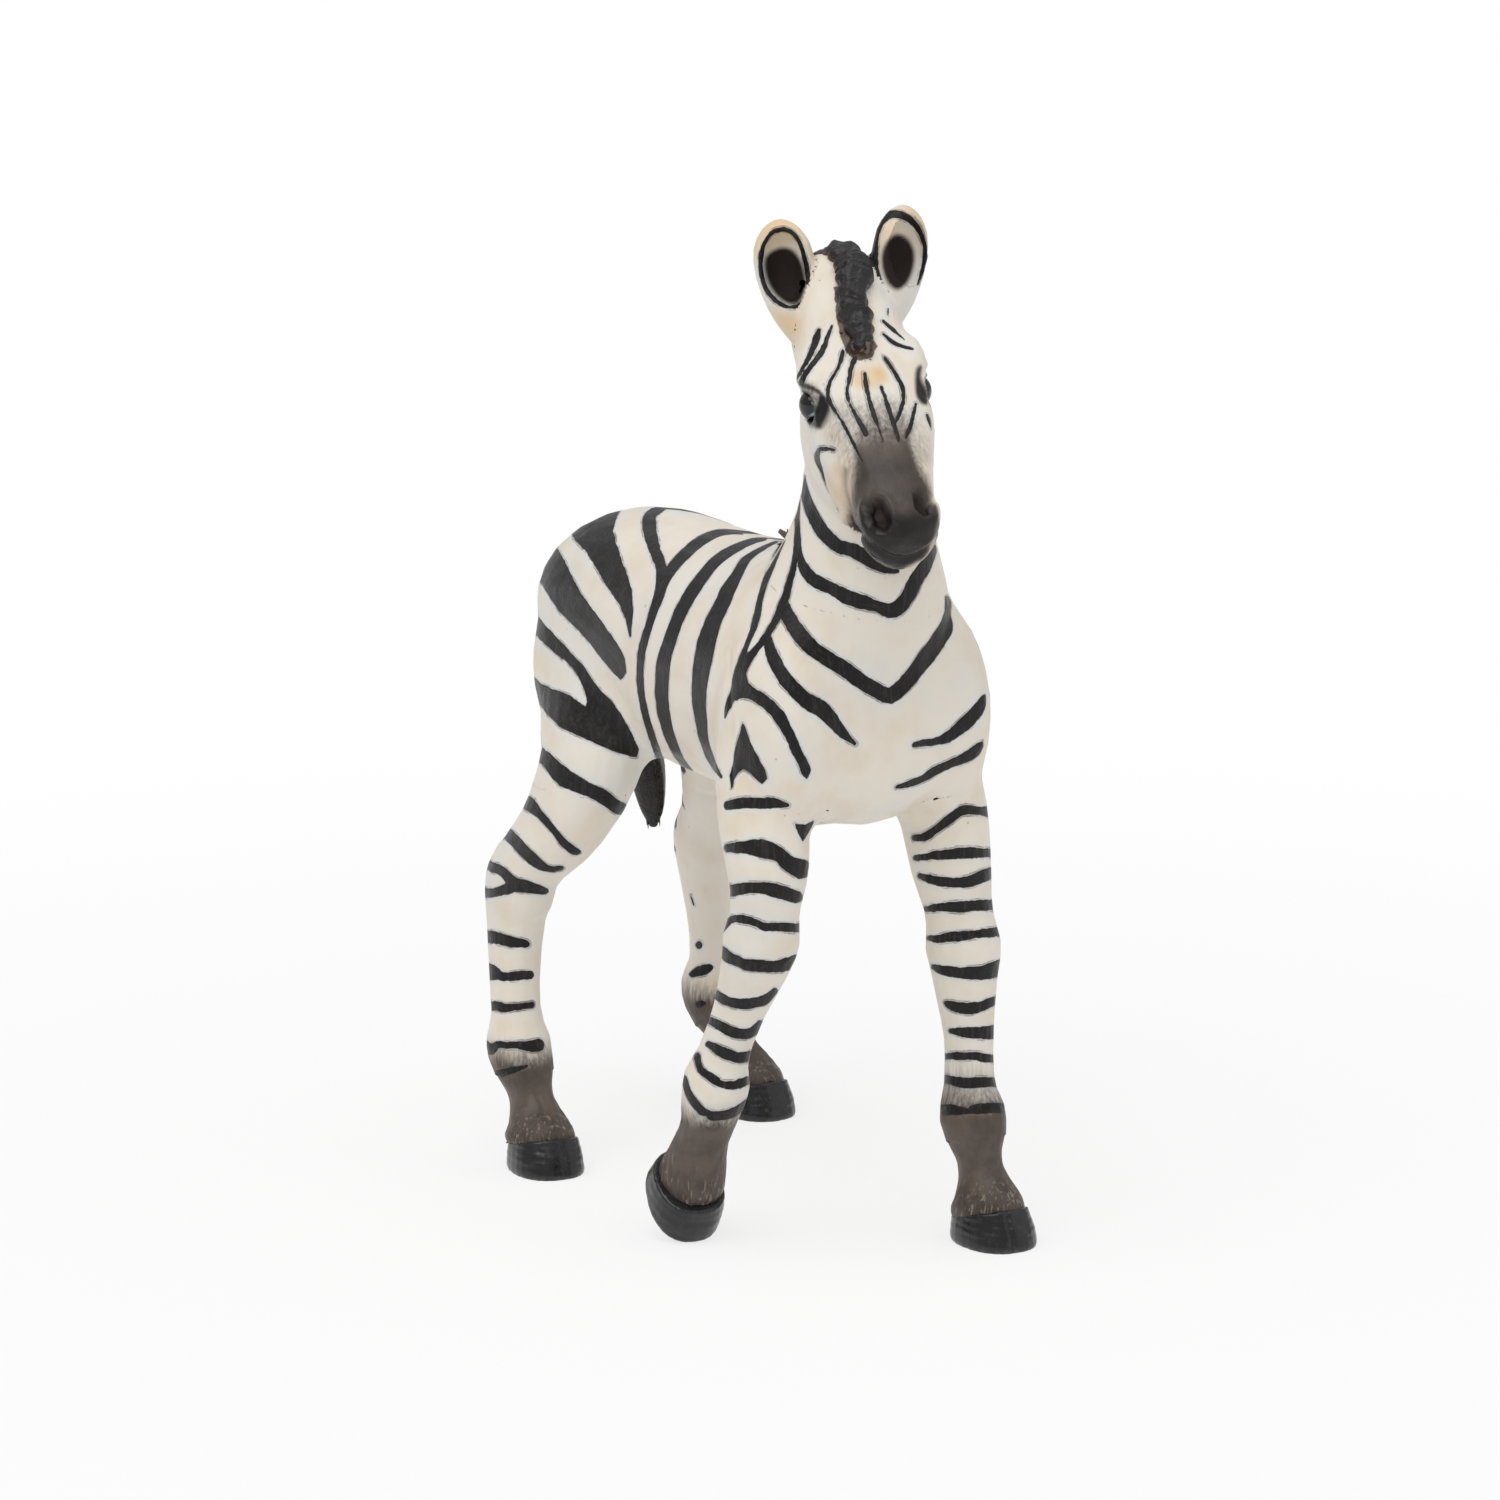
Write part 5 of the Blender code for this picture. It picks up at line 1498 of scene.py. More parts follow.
    def _shown(self, facing: np.ndarray, normals: np.ndarray) -> np.ndarray:
        """Which points of the skin the photograph's camera sees."""
        points = self.web.points
        tree = BVHTree.FromPolygons(points.tolist(), self.web.faces.tolist())
        eye = Vector(PHOTO.place())
        shown = np.zeros(len(points), dtype=bool)
        for index in np.flatnonzero(facing > 0.02):
            start = Vector(points[index] + normals[index] * 0.25)
            shown[index] = tree.ray_cast(start, (eye - start).normalized(), 150.0)[0] is None
        return shown

    def _mirrored(self) -> np.ndarray:
        """The place on the body's other side that each point takes its paint from."""
        points = self.web.points
        height = points[:, 2]
        other = points * MIRROR
        right, left = (self._leg_line(leg) for leg in (Leg.HIND_RIGHT, Leg.HIND_LEFT))
        right_along = np.interp(height, right[:, 0], right[:, 2])
        left_along = np.interp(height, left[:, 0], left[:, 2])
        aside = -sum(np.interp(height, rows[:, 0], rows[:, 1]) for rows in (left, right))
        behind = smooth_step(points[:, 1], *self.thigh_start) * smooth_step(height, *self.thigh_top)
        other[:, 1] += (right_along - left_along) * behind
        other[:, 0] -= aside * behind * self._is("hind_left_leg")
        return np.where(self.head[:, None], HEAD.mirrored(points), other)

    def _read_photo(self) -> None:
        """Find where each point, or the point that mirrors it, stands on the photograph."""
        points, normals = self.web.points, self.web.normals()
        local, facing = HEAD.local(points), PHOTO.facing(normals)
        head_part = self._is("head_and_neck", "mane") & (local[:, 2] > -self.jaw_depth)
        self.head = self._is("left_ear", "right_ear", "left_eye", "right_eye") | head_part
        shown = self._shown(facing, normals)
        use = ((facing > 0.3) & shown) | self._is("front_left_leg")
        use = np.where(self.head, (facing > 0.08) & shown, use)
        use = self.web.blurred(use.astype(float), 90)
        on_neck = smooth_step(points[:, 2], *self.neck_base)
        on_neck *= smooth_step(points[:, 1], *self.withers)
        on_neck *= ~self.head & ~self._is(*LEG_NODES)
        turned = smooth_step(self.web.blurred(facing, 10), *self.neck_turn)
        use += on_neck * (1.0 - turned - use)
        self.hidden_neck = on_neck * turned
        left = np.where(self.head, local[:, 0] > 0.0, points[:, 0] > 0.0)
        sides = np.where(left[:, None], MIRROR, 1.0)
        self.shown_rump = self.web.blurred(PHOTO.facing(normals * sides), 12)
        self.on_rump = smooth_step(points[:, 1], *self.rump_start) * self._is("torso")
        self.on_rump *= smooth_step(points[:, 2], *self.rump_base)
        self.pixels = PHOTO.pixels(points)
        self.other_pixels = PHOTO.pixels(self._mirrored())
        self.direct_ramp = np.where(left, self.ramp * (1.0 - use), 0.0)
        self.other_ramp = np.where(left, self.ramp * use, NEVER)

    def _gaps(
        self, art: Artwork, only: np.ndarray, reach: float, direct: Artwork | None = None,
    ) -> np.ndarray:
        """Signed distance to painted edges, read straight and mirrored.

        Args:
            art: what is painted.
            only: where it may be.
            reach: the distance that stands for all beyond it.
            direct: other paint for the straight reading.

        Returns:
            One distance in photograph pixels for each point.
        """
        gaps = np.full(len(self.web.points), reach)
        places, mirror = self.pixels[only], self.other_pixels[only]
        straight = (direct or art).gaps(places, reach) + self.direct_ramp[only]
        gaps[only] = np.minimum(straight, art.gaps(mirror, reach) + self.other_ramp[only])
        return np.minimum(gaps, reach)

    def _rump_strokes(self) -> tuple[Marks, ...]:
        """The rump's hidden strokes, laid on the skin."""
        tree = BVHTree.FromPolygons(self.web.points.tolist(), self.web.faces.tolist())
        laid = []
        for marks in RUMP_BACK_STROKES:
            rows = flowing(marks)
            laid.append(tuple((*tree.find_nearest(Vector(row[:3]))[0], row[3]) for row in rows))
        return tuple(laid)

    def _covered(self, patch: Wash) -> np.ndarray:
        """How far a patch on the head covers each point, with a soft edge."""
        only = self.head if patch.on_ears else self.face
        gaps = self._gaps(Artwork(patches=(rounded(patch.corners),)), only, patch.soft + 1.0)
        return patch.strength * smooth_step(gaps, patch.soft, -patch.soft)

    def _sculpt(self, near_hoof: np.ndarray) -> None:
        """Press and raise the small forms that the solids leave out."""
        form, points = self.pastern, self.web.points
        push = np.zeros(len(points))
        straight = self.direct_ramp < self.ramp * 0.5
        for dents, where in ((HEAD_DENTS, self.head), (BODY_DENTS, ~self.head)):
            for dent in dents:
                for pixels, side in ((self.pixels, straight), (self.other_pixels, ~straight)):
                    push[where & side] += dent.push(pixels[where & side])
        wisps = ripple(points * np.array((1.0, 1.0, form.hair_length)), form.hair_scale, 5)
        even = np.where(self._is("front_right_leg"), form.tipped_share, 1.0)
        push = self.web.blurred(push, 3) + form.push(near_hoof, wisps, even)
        self.web.points = points + push[:, None] * self.web.normals()
        gaps, ways = self._hoof_gaps()
        pull = smooth_step(gaps, *form.join) * np.minimum(gaps + form.join_past, form.join_most)
        self.web.points = self.web.points + self.web.blurred(pull, 1)[:, None] * ways

    def _paints(self, near_hoof: np.ndarray) -> dict[str, np.ndarray]:
        """Everything that the coat's material reads at each point.

        Args:
            near_hoof: how far each point is from its hoof.

        Returns:
            Values by name.
        """
        ears = self._is("left_ear", "right_ear")
        facing, local = PHOTO.facing(self.web.normals()), HEAD.local(self.web.points)
        self.face = self.head & ~ears
        self.ears_shown = ears & (self.web.blurred(facing, 14) > self.ears_turned)
        muzzle = self._covered(MUZZLE) * smooth_step(local[:, 1], *self.muzzle_start)
        return {
            "stripe": self._stripes(),
            "grey": self._greys(muzzle),
            "dark": self._darks(muzzle, local[:, 1]),
            "ochre": self._ochres(np.where(ears, smooth_step(local[:, 2], *self.ear_glow), 0.0)),
            "pit": self._pits(smooth_step(local[:, 1], *self.nostril_start)),
            "wisp": smooth_step(near_hoof, *self.wisp_reach),
            "fuzz": self._fuzz((facing > 0.1) & self.head),
        }

    def _stripes(self) -> np.ndarray:
        """Signed distance to the stripes' edges, in photograph pixels."""
        legs = FRONT_LEFT_STROKES + FRONT_RIGHT_STROKES + HIND_RIGHT_STROKES
        coat = Artwork(strokes=RUMP_STROKES + NECK_STROKES + legs, patches=WEDGES)
        hind_left = self._is("hind_left_leg")
        other = self._gaps(coat, hind_left, self.reach, Artwork(strokes=HIND_LEFT_STROKES))
        stripe = self._gaps(coat, ~self.head & ~hind_left, self.reach)
        stripe = np.minimum(stripe, other) - self.bleed
        face = self._gaps(Artwork(strokes=FACE_STROKES + NECK_STROKES), self.face, self.reach)
        stripe = np.minimum(stripe, face + self.face_thinning)
        rings = Artwork(strokes=(RIGHT_EAR_RING, LEFT_EAR_RING)).gaps(self.pixels, self.reach)
        stripe = np.where(self.ears_shown, rings, stripe)
        stripe = self._with_flank(self._with_neck_sides(stripe))
        stretch = PHOTO.per_millimetre() / np.maximum(self.web.slope(stripe), self.least_slope)
        stretch = np.clip(self.web.blurred(stretch, 8), 1.0, self.most_stretch)
        return np.minimum(stripe * stretch, self.reach)

    def _with_neck_sides(self, stripe: np.ndarray) -> np.ndarray:
        """The stripes with those on the neck's hidden sides, from their distances so far."""
        points = self.web.points
        stripe = np.minimum(stripe + self.ramp * self.hidden_neck, self.reach)
        left = points[:, 0] > 0.0
        for strokes, own in ((LEFT_NECK_STROKES, left), (RIGHT_NECK_STROKES, ~left)):
            side = Artwork(strokes=strokes).gaps(points[:, 1:], self.hidden_reach)
            side = side * PHOTO.per_millimetre() + self.ramp * (1.0 - self.hidden_neck)
            stripe = np.where(own, np.minimum(stripe, side), stripe)
        return stripe

    def _with_flank(self, stripe: np.ndarray) -> np.ndarray:
        """The stripes with those on the rump's hidden side, from their distances so far."""
        points = self.web.points
        rump_turn = smooth_step(self.shown_rump, *self.rump_turn)
        stripe = stripe + self.ramp * self.on_rump * rump_turn
        laid = Artwork(strokes=self._rump_strokes())
        both = (laid.gaps(side, self.hidden_reach) for side in (points * MIRROR, points))
        flank = np.minimum(*both)
        absent = 1.0 - self.on_rump * smooth_step(self.shown_rump, *self.flank_turn)
        flank = flank * PHOTO.per_millimetre() + self.ramp * absent
        return np.minimum(np.minimum(stripe, flank), self.reach)

    def _greys(self, muzzle: np.ndarray) -> np.ndarray:
        """The grey of the socks, the muzzle, the brow and round the eyes."""
        grey = np.maximum(muzzle, self._covered(BROW))
        grey = np.maximum(grey, self.round_eye * self._covered(EYE_ROUND))
        for leg, heights in self.sock_heights.items():
            own = self._is(f"{leg.value}_leg")
            places = self.web.points[own]
            sock = smooth_step(places[:, 2] + ripple(places, 0.16, 3) * 0.4, *heights)
            grey[own] = np.maximum(grey[own], sock)
        return grey

    def _darks(self, muzzle: np.ndarray, forward: np.ndarray) -> np.ndarray:
        """The black of the nose and the lids, and painted shade in the mouth's corners and round
        the eyes.
        """
        dark = self._covered(NOSE) * smooth_step(forward, *self.nose_start)
        dark = np.maximum(dark, 0.42 * muzzle * smooth_step(forward, *self.muzzle_dusk))
        dark = np.maximum(dark, self._covered(MOUTH))
        for patch in LID_SHADES:
            dark = np.maximum(dark, self.by_eye * self._covered(patch))
        upper_lid = self._gaps(Artwork(strokes=(UPPER_LID,)), self.face, self.reach)
        dark = np.maximum(dark, 0.92 * self.by_eye * smooth_step(upper_lid, 1.2, -1.2))
        return np.maximum(dark, smooth_step(self.lids, 1.55, 1.2))

    def _pits(self, ahead: np.ndarray) -> np.ndarray:
        """The dark of the nostrils, by how far ahead each point is, and of the ears' hollows."""
        pit = ahead * np.maximum(*(self._covered(patch) for patch in NOSTRILS))
        for corners in (RIGHT_EAR_HOLLOW, LEFT_EAR_HOLLOW):
            hollow = smooth_step(patch_gaps(self.pixels, rounded(corners), self.reach), 3.0, -3.0)
            pit = np.maximum(pit, np.where(self.ears_shown, hollow, 0.0))
        return pit

    def _ochres(self, ears: np.ndarray) -> np.ndarray:
        """The warm tint of the forehead, the cheeks and the ears, whose own share is given."""
        ochre = 0.6 * ears
        for patch in GLOWS:
            ochre = np.maximum(ochre, self._covered(patch))
        return ochre

    def _fuzz(self, front: np.ndarray) -> np.ndarray:
        """The brown under the mane and, on the head's front, round the forelock."""
        under = smooth_step(self.web.blurred(self._is("mane").astype(float), 10), 0.05, 0.5)
        forelock = smooth_step(patch_gaps(self.pixels, FORELOCK_FUZZ, 8.0), 3.0, -2.0)
        return np.where(front, forelock, under)

    def _cut(self, material: bpy.types.Material, paints: dict[str, np.ndarray]) -> None:
        """Cut the skin where the solids meet and finish each piece.

        Args:
            material: the coat's finish.
            paints: what the finish reads.
        """
        nearest = self._nearest(SKIN_NODES)
        votes = (nearest[:, None] == np.arange(len(SKIN_NODES))).astype(float)
        side = self.web.blurred(votes, 14).argmax(axis=1)
        corners = side[self.web.faces]
        owner = np.median(corners, axis=1).astype(int)
        normals = self.web.normals()
        behind = self.web.points[self.web.faces][:, :, 1].mean(axis=1) > self.girth
        for number, name in enumerate(SKIN_NODES):
            mine = owner == number
            parts = {f"coat_{name}": mine}
            if name == "torso":
                parts = {"coat_torso_front": mine & ~behind, "coat_torso_rear": mine & behind}
            for title, chosen in parts.items():
                kept, flat = np.unique(self.web.faces[chosen], return_inverse=True)
                own = {layer: values[kept] for layer, values in paints.items()}
                finished_piece(
                    title, self.web.points[kept], flat.reshape(-1, 4), own, material,
                    (name,), normals[kept],
                )


def smooth_web(name: str, grow: float, voxel: float, rounds: int) -> Web:
    """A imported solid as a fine, smoothed skin.

    Args:
        name: the node's name.
        grow: how far its faces move out first.
        voxel: the size of the skin's squares.
        rounds: how many passes smooth it.

    Returns:
        The skin.
    """
    web = remeshed([solid_copy(name, grow)], voxel)
    web.relax(rounds, np.ones(len(web.points)))
    return web


def solid_points(name: str) -> np.ndarray:
    """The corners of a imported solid, in millimetres."""
    bm = solid_copy(name, 0.0)
    places = np.array([vert.co[:] for vert in bm.verts])
    bm.free()
    return places


@dataclass
class BellyPad:
    """The thin pad under the belly."""

    voxel: float = 0.14
    lift: float = 0.06
    smoothing: int = 14
    stripe_gap: float = 14.0
    warmth: float = 0.12

    def build(self, material: bpy.types.Material) -> None:
        """Make the pad.

        Args:
            material: the coat's finish.
        """
        web = smooth_web("belly_pad", self.lift, self.voxel, self.smoothing)
        titles = ("stripe", "grey", "dark", "ochre", "pit", "wisp", "fuzz")
        levels = {"stripe": self.stripe_gap, "ochre": self.warmth}
        paints = {title: np.full(len(web.points), levels.get(title, 0.0)) for title in titles}
        finished_piece(
            "coat_belly_pad", web.points, web.faces, paints, material, ("belly_pad",),
        )


@dataclass
class Hooves:
    """Four hooves with growth rings and a worn sole edge, and a groove pressed at the front left
    toe.
    """

    voxel: float = 0.13
    smoothing: int = 26
    ring_depth: float = 0.022
    ring_count: float = 34.0
    wall_start: tuple[float, float] = (0.05, 0.2)
    wall_end: tuple[float, float] = (1.02, 0.85)
    shank_reach: float = 5.0
    toe_edge: Dent = Dent(
        ((1008, 1200, 2), (1007, 1214, 2), (1010, 1230, 2), (1014, 1250, 2)), -0.2, 2.6,
    )

    def build(self, material: bpy.types.Material) -> None:
        """Make all four.

        Args:
            material: the hooves' finish.
        """
        for leg in Leg:
            name = f"{leg.value}_hoof"
            web = smooth_web(name, 0.0, self.voxel, self.smoothing)
            rise = self._rise(leg, web.points)
            rings = np.sin(rise * self.ring_count + ripple(web.points, 0.2, 11) * 1.4)
            wall = smooth_step(rise, *self.wall_start) * smooth_step(rise, *self.wall_end)
            push = self.ring_depth * wall * (0.4 * rings + 2.2 * ripple(web.points, 0.3, 8))
            if leg is Leg.FRONT_LEFT:
                shown = (PHOTO.facing(web.normals()) > 0.0) * smooth_step(rise, 1.1, 0.9)
                push += self.toe_edge.push(PHOTO.pixels(web.points)) * shown
            web.points = web.points + push[:, None] * web.normals()
            web.points[:, 2] = np.maximum(web.points[:, 2], 0.0)
            paints = {"rise": rise}
            finished_piece(
                f"shiny_{name}", web.points, web.faces, paints, material, (name,),
            )

    def _rise(self, leg: Leg, points: np.ndarray) -> np.ndarray:
        """How far up the hoof each point is, from its sole to the coronet."""
        up = np.array((0.0, 0.0, 1.0))
        if leg is Leg.FRONT_RIGHT:
            centre = points.mean(axis=0)
            shank = solid_points(f"{leg.value}_leg")
            near = np.linalg.norm(shank - centre, axis=1) < self.shank_reach
            up = shank[near].mean(axis=0) - centre
        heights = points @ (up / np.linalg.norm(up))
        return (heights - heights.min()) / (heights.max() - heights.min())


@dataclass
class Eyes:
    """Two glossy eyes, each with a painted pale highlight."""

    # Painted highlights: a pale crescent on the right eye and a glint on the left.
    right_crescent: Marks = (
        (811, 402), (815, 402), (819, 406), (819, 412), (814, 416), (809, 416), (814, 412),
        (815, 407),
    )
    left_glint: Marks = ((920, 384), (925, 388), (924, 396), (920, 392))

    def build(self, material: bpy.types.Material) -> None:
        """Make both eyes.

        Args:
            material: the eyes' finish.
        """
        for eye, corners in zip(EYES, (self.left_glint, self.right_crescent)):
            low, high = eye.box()
            bm = bmesh.new()
            bmesh.ops.create_icosphere(bm, subdivisions=5, radius=1.0)
            places = np.array([vert.co[:] for vert in bm.verts])
            faces = np.array([[vert.index for vert in face.verts] for face in bm.faces])
            bm.free()
            points = (low + high) / 2.0 + places * (high - low) / 2.0
            # The painted highlight covers the part of the outline that lies on the eye's front.
            crescent = smooth_step(patch_gaps(PHOTO.pixels(points), corners, 6.0), 0.8, -0.8)
            paints = {"crescent": crescent * (PHOTO.facing(places) > 0.0)}
            finished_piece(
                f"glossy_{eye.name}", points, faces, paints, material, (eye.name,),
            )


@dataclass(frozen=True)
class LockSizes:
    """Sizes of the locks of hair that stand on a path, in millimetres."""

    length: float = 1.5
    radius: float = 0.26
    spacing: float = 0.34
    spread: float = 0.5
    lean: float = 0.5
    seed: int = 4


@dataclass
class HairLocks:
    """Locks of moulded hair set along guide lines by Geometry Nodes."""

    sizes: LockSizes

    def grow(
        self, name: str, guides: Sequence[np.ndarray], material: bpy.types.Material,
    ) -> bpy.types.Mesh:
        """Set locks along guides.

        Args:
            name: what the mesh is called.
            guides: lines in millimetres; each row is a place and then the way the hair stands.
            material: the hair's finish.

        Returns:
            A plain mesh in metres.
        """
        mesh = bpy.data.meshes.new(name)
        rows = np.vstack(guides)
        edges, start = [], 0
        for guide in guides:
            edges.extend((start + index, start + index + 1) for index in range(len(guide) - 1))
            start += len(guide)
        mesh.from_pydata(rows[:, :3] * MM, edges, [])
        ways = mesh.attributes.new("stand", "FLOAT_VECTOR", "POINT")
        stand = np.ascontiguousarray(rows[:, 3:6], dtype=np.float32)
        ways.data.foreach_set("vector", stand.ravel())
        item = bpy.data.objects.new(name, mesh)
        bpy.context.scene.collection.objects.link(item)
        tree = self._tree(name)
        modifier = item.modifiers.new("locks", "NODES")
        modifier.node_group = tree
        numbers = {
            "Length": self.sizes.length * MM, "Radius": self.sizes.radius * MM,
            "Spacing": self.sizes.spacing * MM, "Spread": self.sizes.spread,
            "Lean": self.sizes.lean, "Seed": self.sizes.seed, "Finish": material,
        }
        for socket in tree.interface.items_tree:
            if socket.name in numbers:
                modifier[socket.identifier] = numbers[socket.name]
        made = evaluated(item)
        bpy.data.objects.remove(item)
        bpy.data.meshes.remove(mesh)
        return made

    def _tree(self, name: str) -> bpy.types.NodeTree:
        """The node tree: guides in, locks of hair out.

        Args:
            name: what the tree is called.

        Returns:
            The tree.
        """
        tree = bpy.data.node_groups.new(f"{name}_locks", "GeometryNodeTree")
        sockets = {
            "Guides": "Geometry", "Length": "Float", "Radius": "Float", "Spacing": "Float",
            "Spread": "Float", "Lean": "Float", "Seed": "Int", "Finish": "Material",
        }
        for title, kind in sockets.items():
            tree.interface.new_socket(title, in_out="INPUT", socket_type=f"NodeSocket{kind}")
        tree.interface.new_socket("Hair", in_out="OUTPUT", socket_type="NodeSocketGeometry")
        given = tree.nodes.new("NodeGroupInput").outputs

        def node(kind: str, settings: dict[str, Any], values: dict[Any, Any]) -> bpy.types.Node:
            """Add a node with its settings and sockets."""
            made = tree.nodes.new(kind)
            for title, value in settings.items():
                setattr(made, title, value)
            for title, value in values.items():
                if isinstance(value, bpy.types.NodeSocket):
                    tree.links.new(value, made.inputs[title])
                else:
                    made.inputs[title].default_value = value
            return made

        line = node("GeometryNodeMeshToCurve", {}, {"Mesh": given["Guides"]})
        spaced = node(
            "GeometryNodeResampleCurve", {"mode": "LENGTH"},
            {"Curve": line.outputs[0], "Length": given["Spacing"]},
        )
        stand = node(
            "GeometryNodeInputNamedAttribute", {"data_type": "FLOAT_VECTOR"}, {"Name": "stand"},
        )
        scaled = {"operation": "SCALE"}
        low, high = (
            node("ShaderNodeVectorMath", scaled, {0: (sign,) * 3, 3: given["Spread"]})
            for sign in (-1.0, 1.0)
        )
        jitter = node(
            "FunctionNodeRandomValue", {"data_type": "FLOAT_VECTOR"},
            {0: low.outputs[0], 1: high.outputs[0], "Seed": given["Seed"]},
        )
        way = node(
            "ShaderNodeVectorMath", {"operation": "ADD"},
            {0: stand.outputs[0], 1: jitter.outputs[0]},
        )
        aim = node("FunctionNodeAlignRotationToVector", {"axis": "Z"}, {"Vector": way.outputs[0]})
        tip = node("ShaderNodeCombineXYZ", {}, {0: 0.0, 1: 0.0, 2: given["Length"]})
        bow = node(
            "ShaderNodeMath", {"operation": "MULTIPLY"}, {0: given["Length"], 1: given["Lean"]},
        )
        middle = node("ShaderNodeCombineXYZ", {}, {0: bow.outputs[0], 1: 0.0, 2: given["Length"]})
        bend = node(
            "GeometryNodeCurveQuadraticBezier", {},
            {"Resolution": 5, "Start": (0.0,) * 3, "Middle": tip.outputs[0],
             "End": middle.outputs[0]},
        )
        along = node("GeometryNodeSplineParameter", {}, {})
        taper = node(
            "ShaderNodeMapRange", {},
            {"Value": along.outputs["Factor"], "To Min": 1.0, "To Max": 0.12},
        )
        thick = node(
            "GeometryNodeSetCurveRadius", {},
            {"Curve": bend.outputs[0], "Radius": taper.outputs[0]},
        )
        ring = node(
            "GeometryNodeCurvePrimitiveCircle", {}, {"Resolution": 6, "Radius": given["Radius"]},
        )
        lock = node(
            "GeometryNodeCurveToMesh", {},
            {"Curve": thick.outputs[0], "Profile Curve": ring.outputs[0], "Fill Caps": True},
        )
        if "Scale" in lock.inputs:
            tree.links.new(taper.outputs[0], lock.inputs["Scale"])
        size = node(
            "FunctionNodeRandomValue", {"data_type": "FLOAT"},
            {2: 0.6, 3: 1.15, "Seed": given["Seed"]},
        )
        set_out = node(
            "GeometryNodeInstanceOnPoints", {},
            {"Points": spaced.outputs[0], "Instance": lock.outputs[0], "Rotation": aim.outputs[0],
             "Scale": size.outputs[1]},
        )
        whole = node("GeometryNodeRealizeInstances", {}, {"Geometry": set_out.outputs[0]})
        dressed = node(
            "GeometryNodeSetMaterial", {},
            {"Geometry": whole.outputs[0], "Material": given["Finish"]},
        )
        leave = tree.nodes.new("NodeGroupOutput")
        tree.links.new(dressed.outputs[0], leave.inputs[0])
        return tree


def joined_hair(
    name: str, web: Web, paints: dict[str, np.ndarray], locks: bpy.types.Mesh,
    material: bpy.types.Material,
) -> None:
    """Put locks of hair and the ridge that carries them in one piece.

    Args:
        name: the node that the piece stands for.
        web: the ridge.
        paints: values kept at each point of the ridge for the material.
        locks: the hair.
        material: the hair's finish.
    """
    ridge = bpy.data.meshes.new("ridge")
    ridge.from_pydata(web.points * MM, [], web.faces.tolist())
    bm = bmesh.new()
    bm.from_mesh(ridge)
    ridge_points = len(bm.verts)
    bm.from_mesh(locks)
    mesh = bpy.data.meshes.new(f"hair_{name}")
    bm.to_mesh(mesh)
    bm.free()
    for title, own in paints.items():
        layer = mesh.attributes.new(title, "FLOAT", "POINT")
        values = np.zeros(len(mesh.vertices), dtype=np.float32)
        values[:ridge_points] = own
        layer.data.foreach_set("value", values)
    mesh.shade_smooth()
    mesh.materials.clear()
    mesh.materials.append(material)
    mesh.polygons.foreach_set("material_index", np.zeros(len(mesh.polygons), dtype=np.int32))
    item = bpy.data.objects.new(f"hair_{name}", mesh)
    bpy.context.scene.collection.objects.link(item)
    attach(item, BODY)
    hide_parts(name)
    bpy.data.meshes.remove(ridge)
    bpy.data.meshes.remove(locks)
    log.info("hair_%s: %d faces", name, len(mesh.polygons))


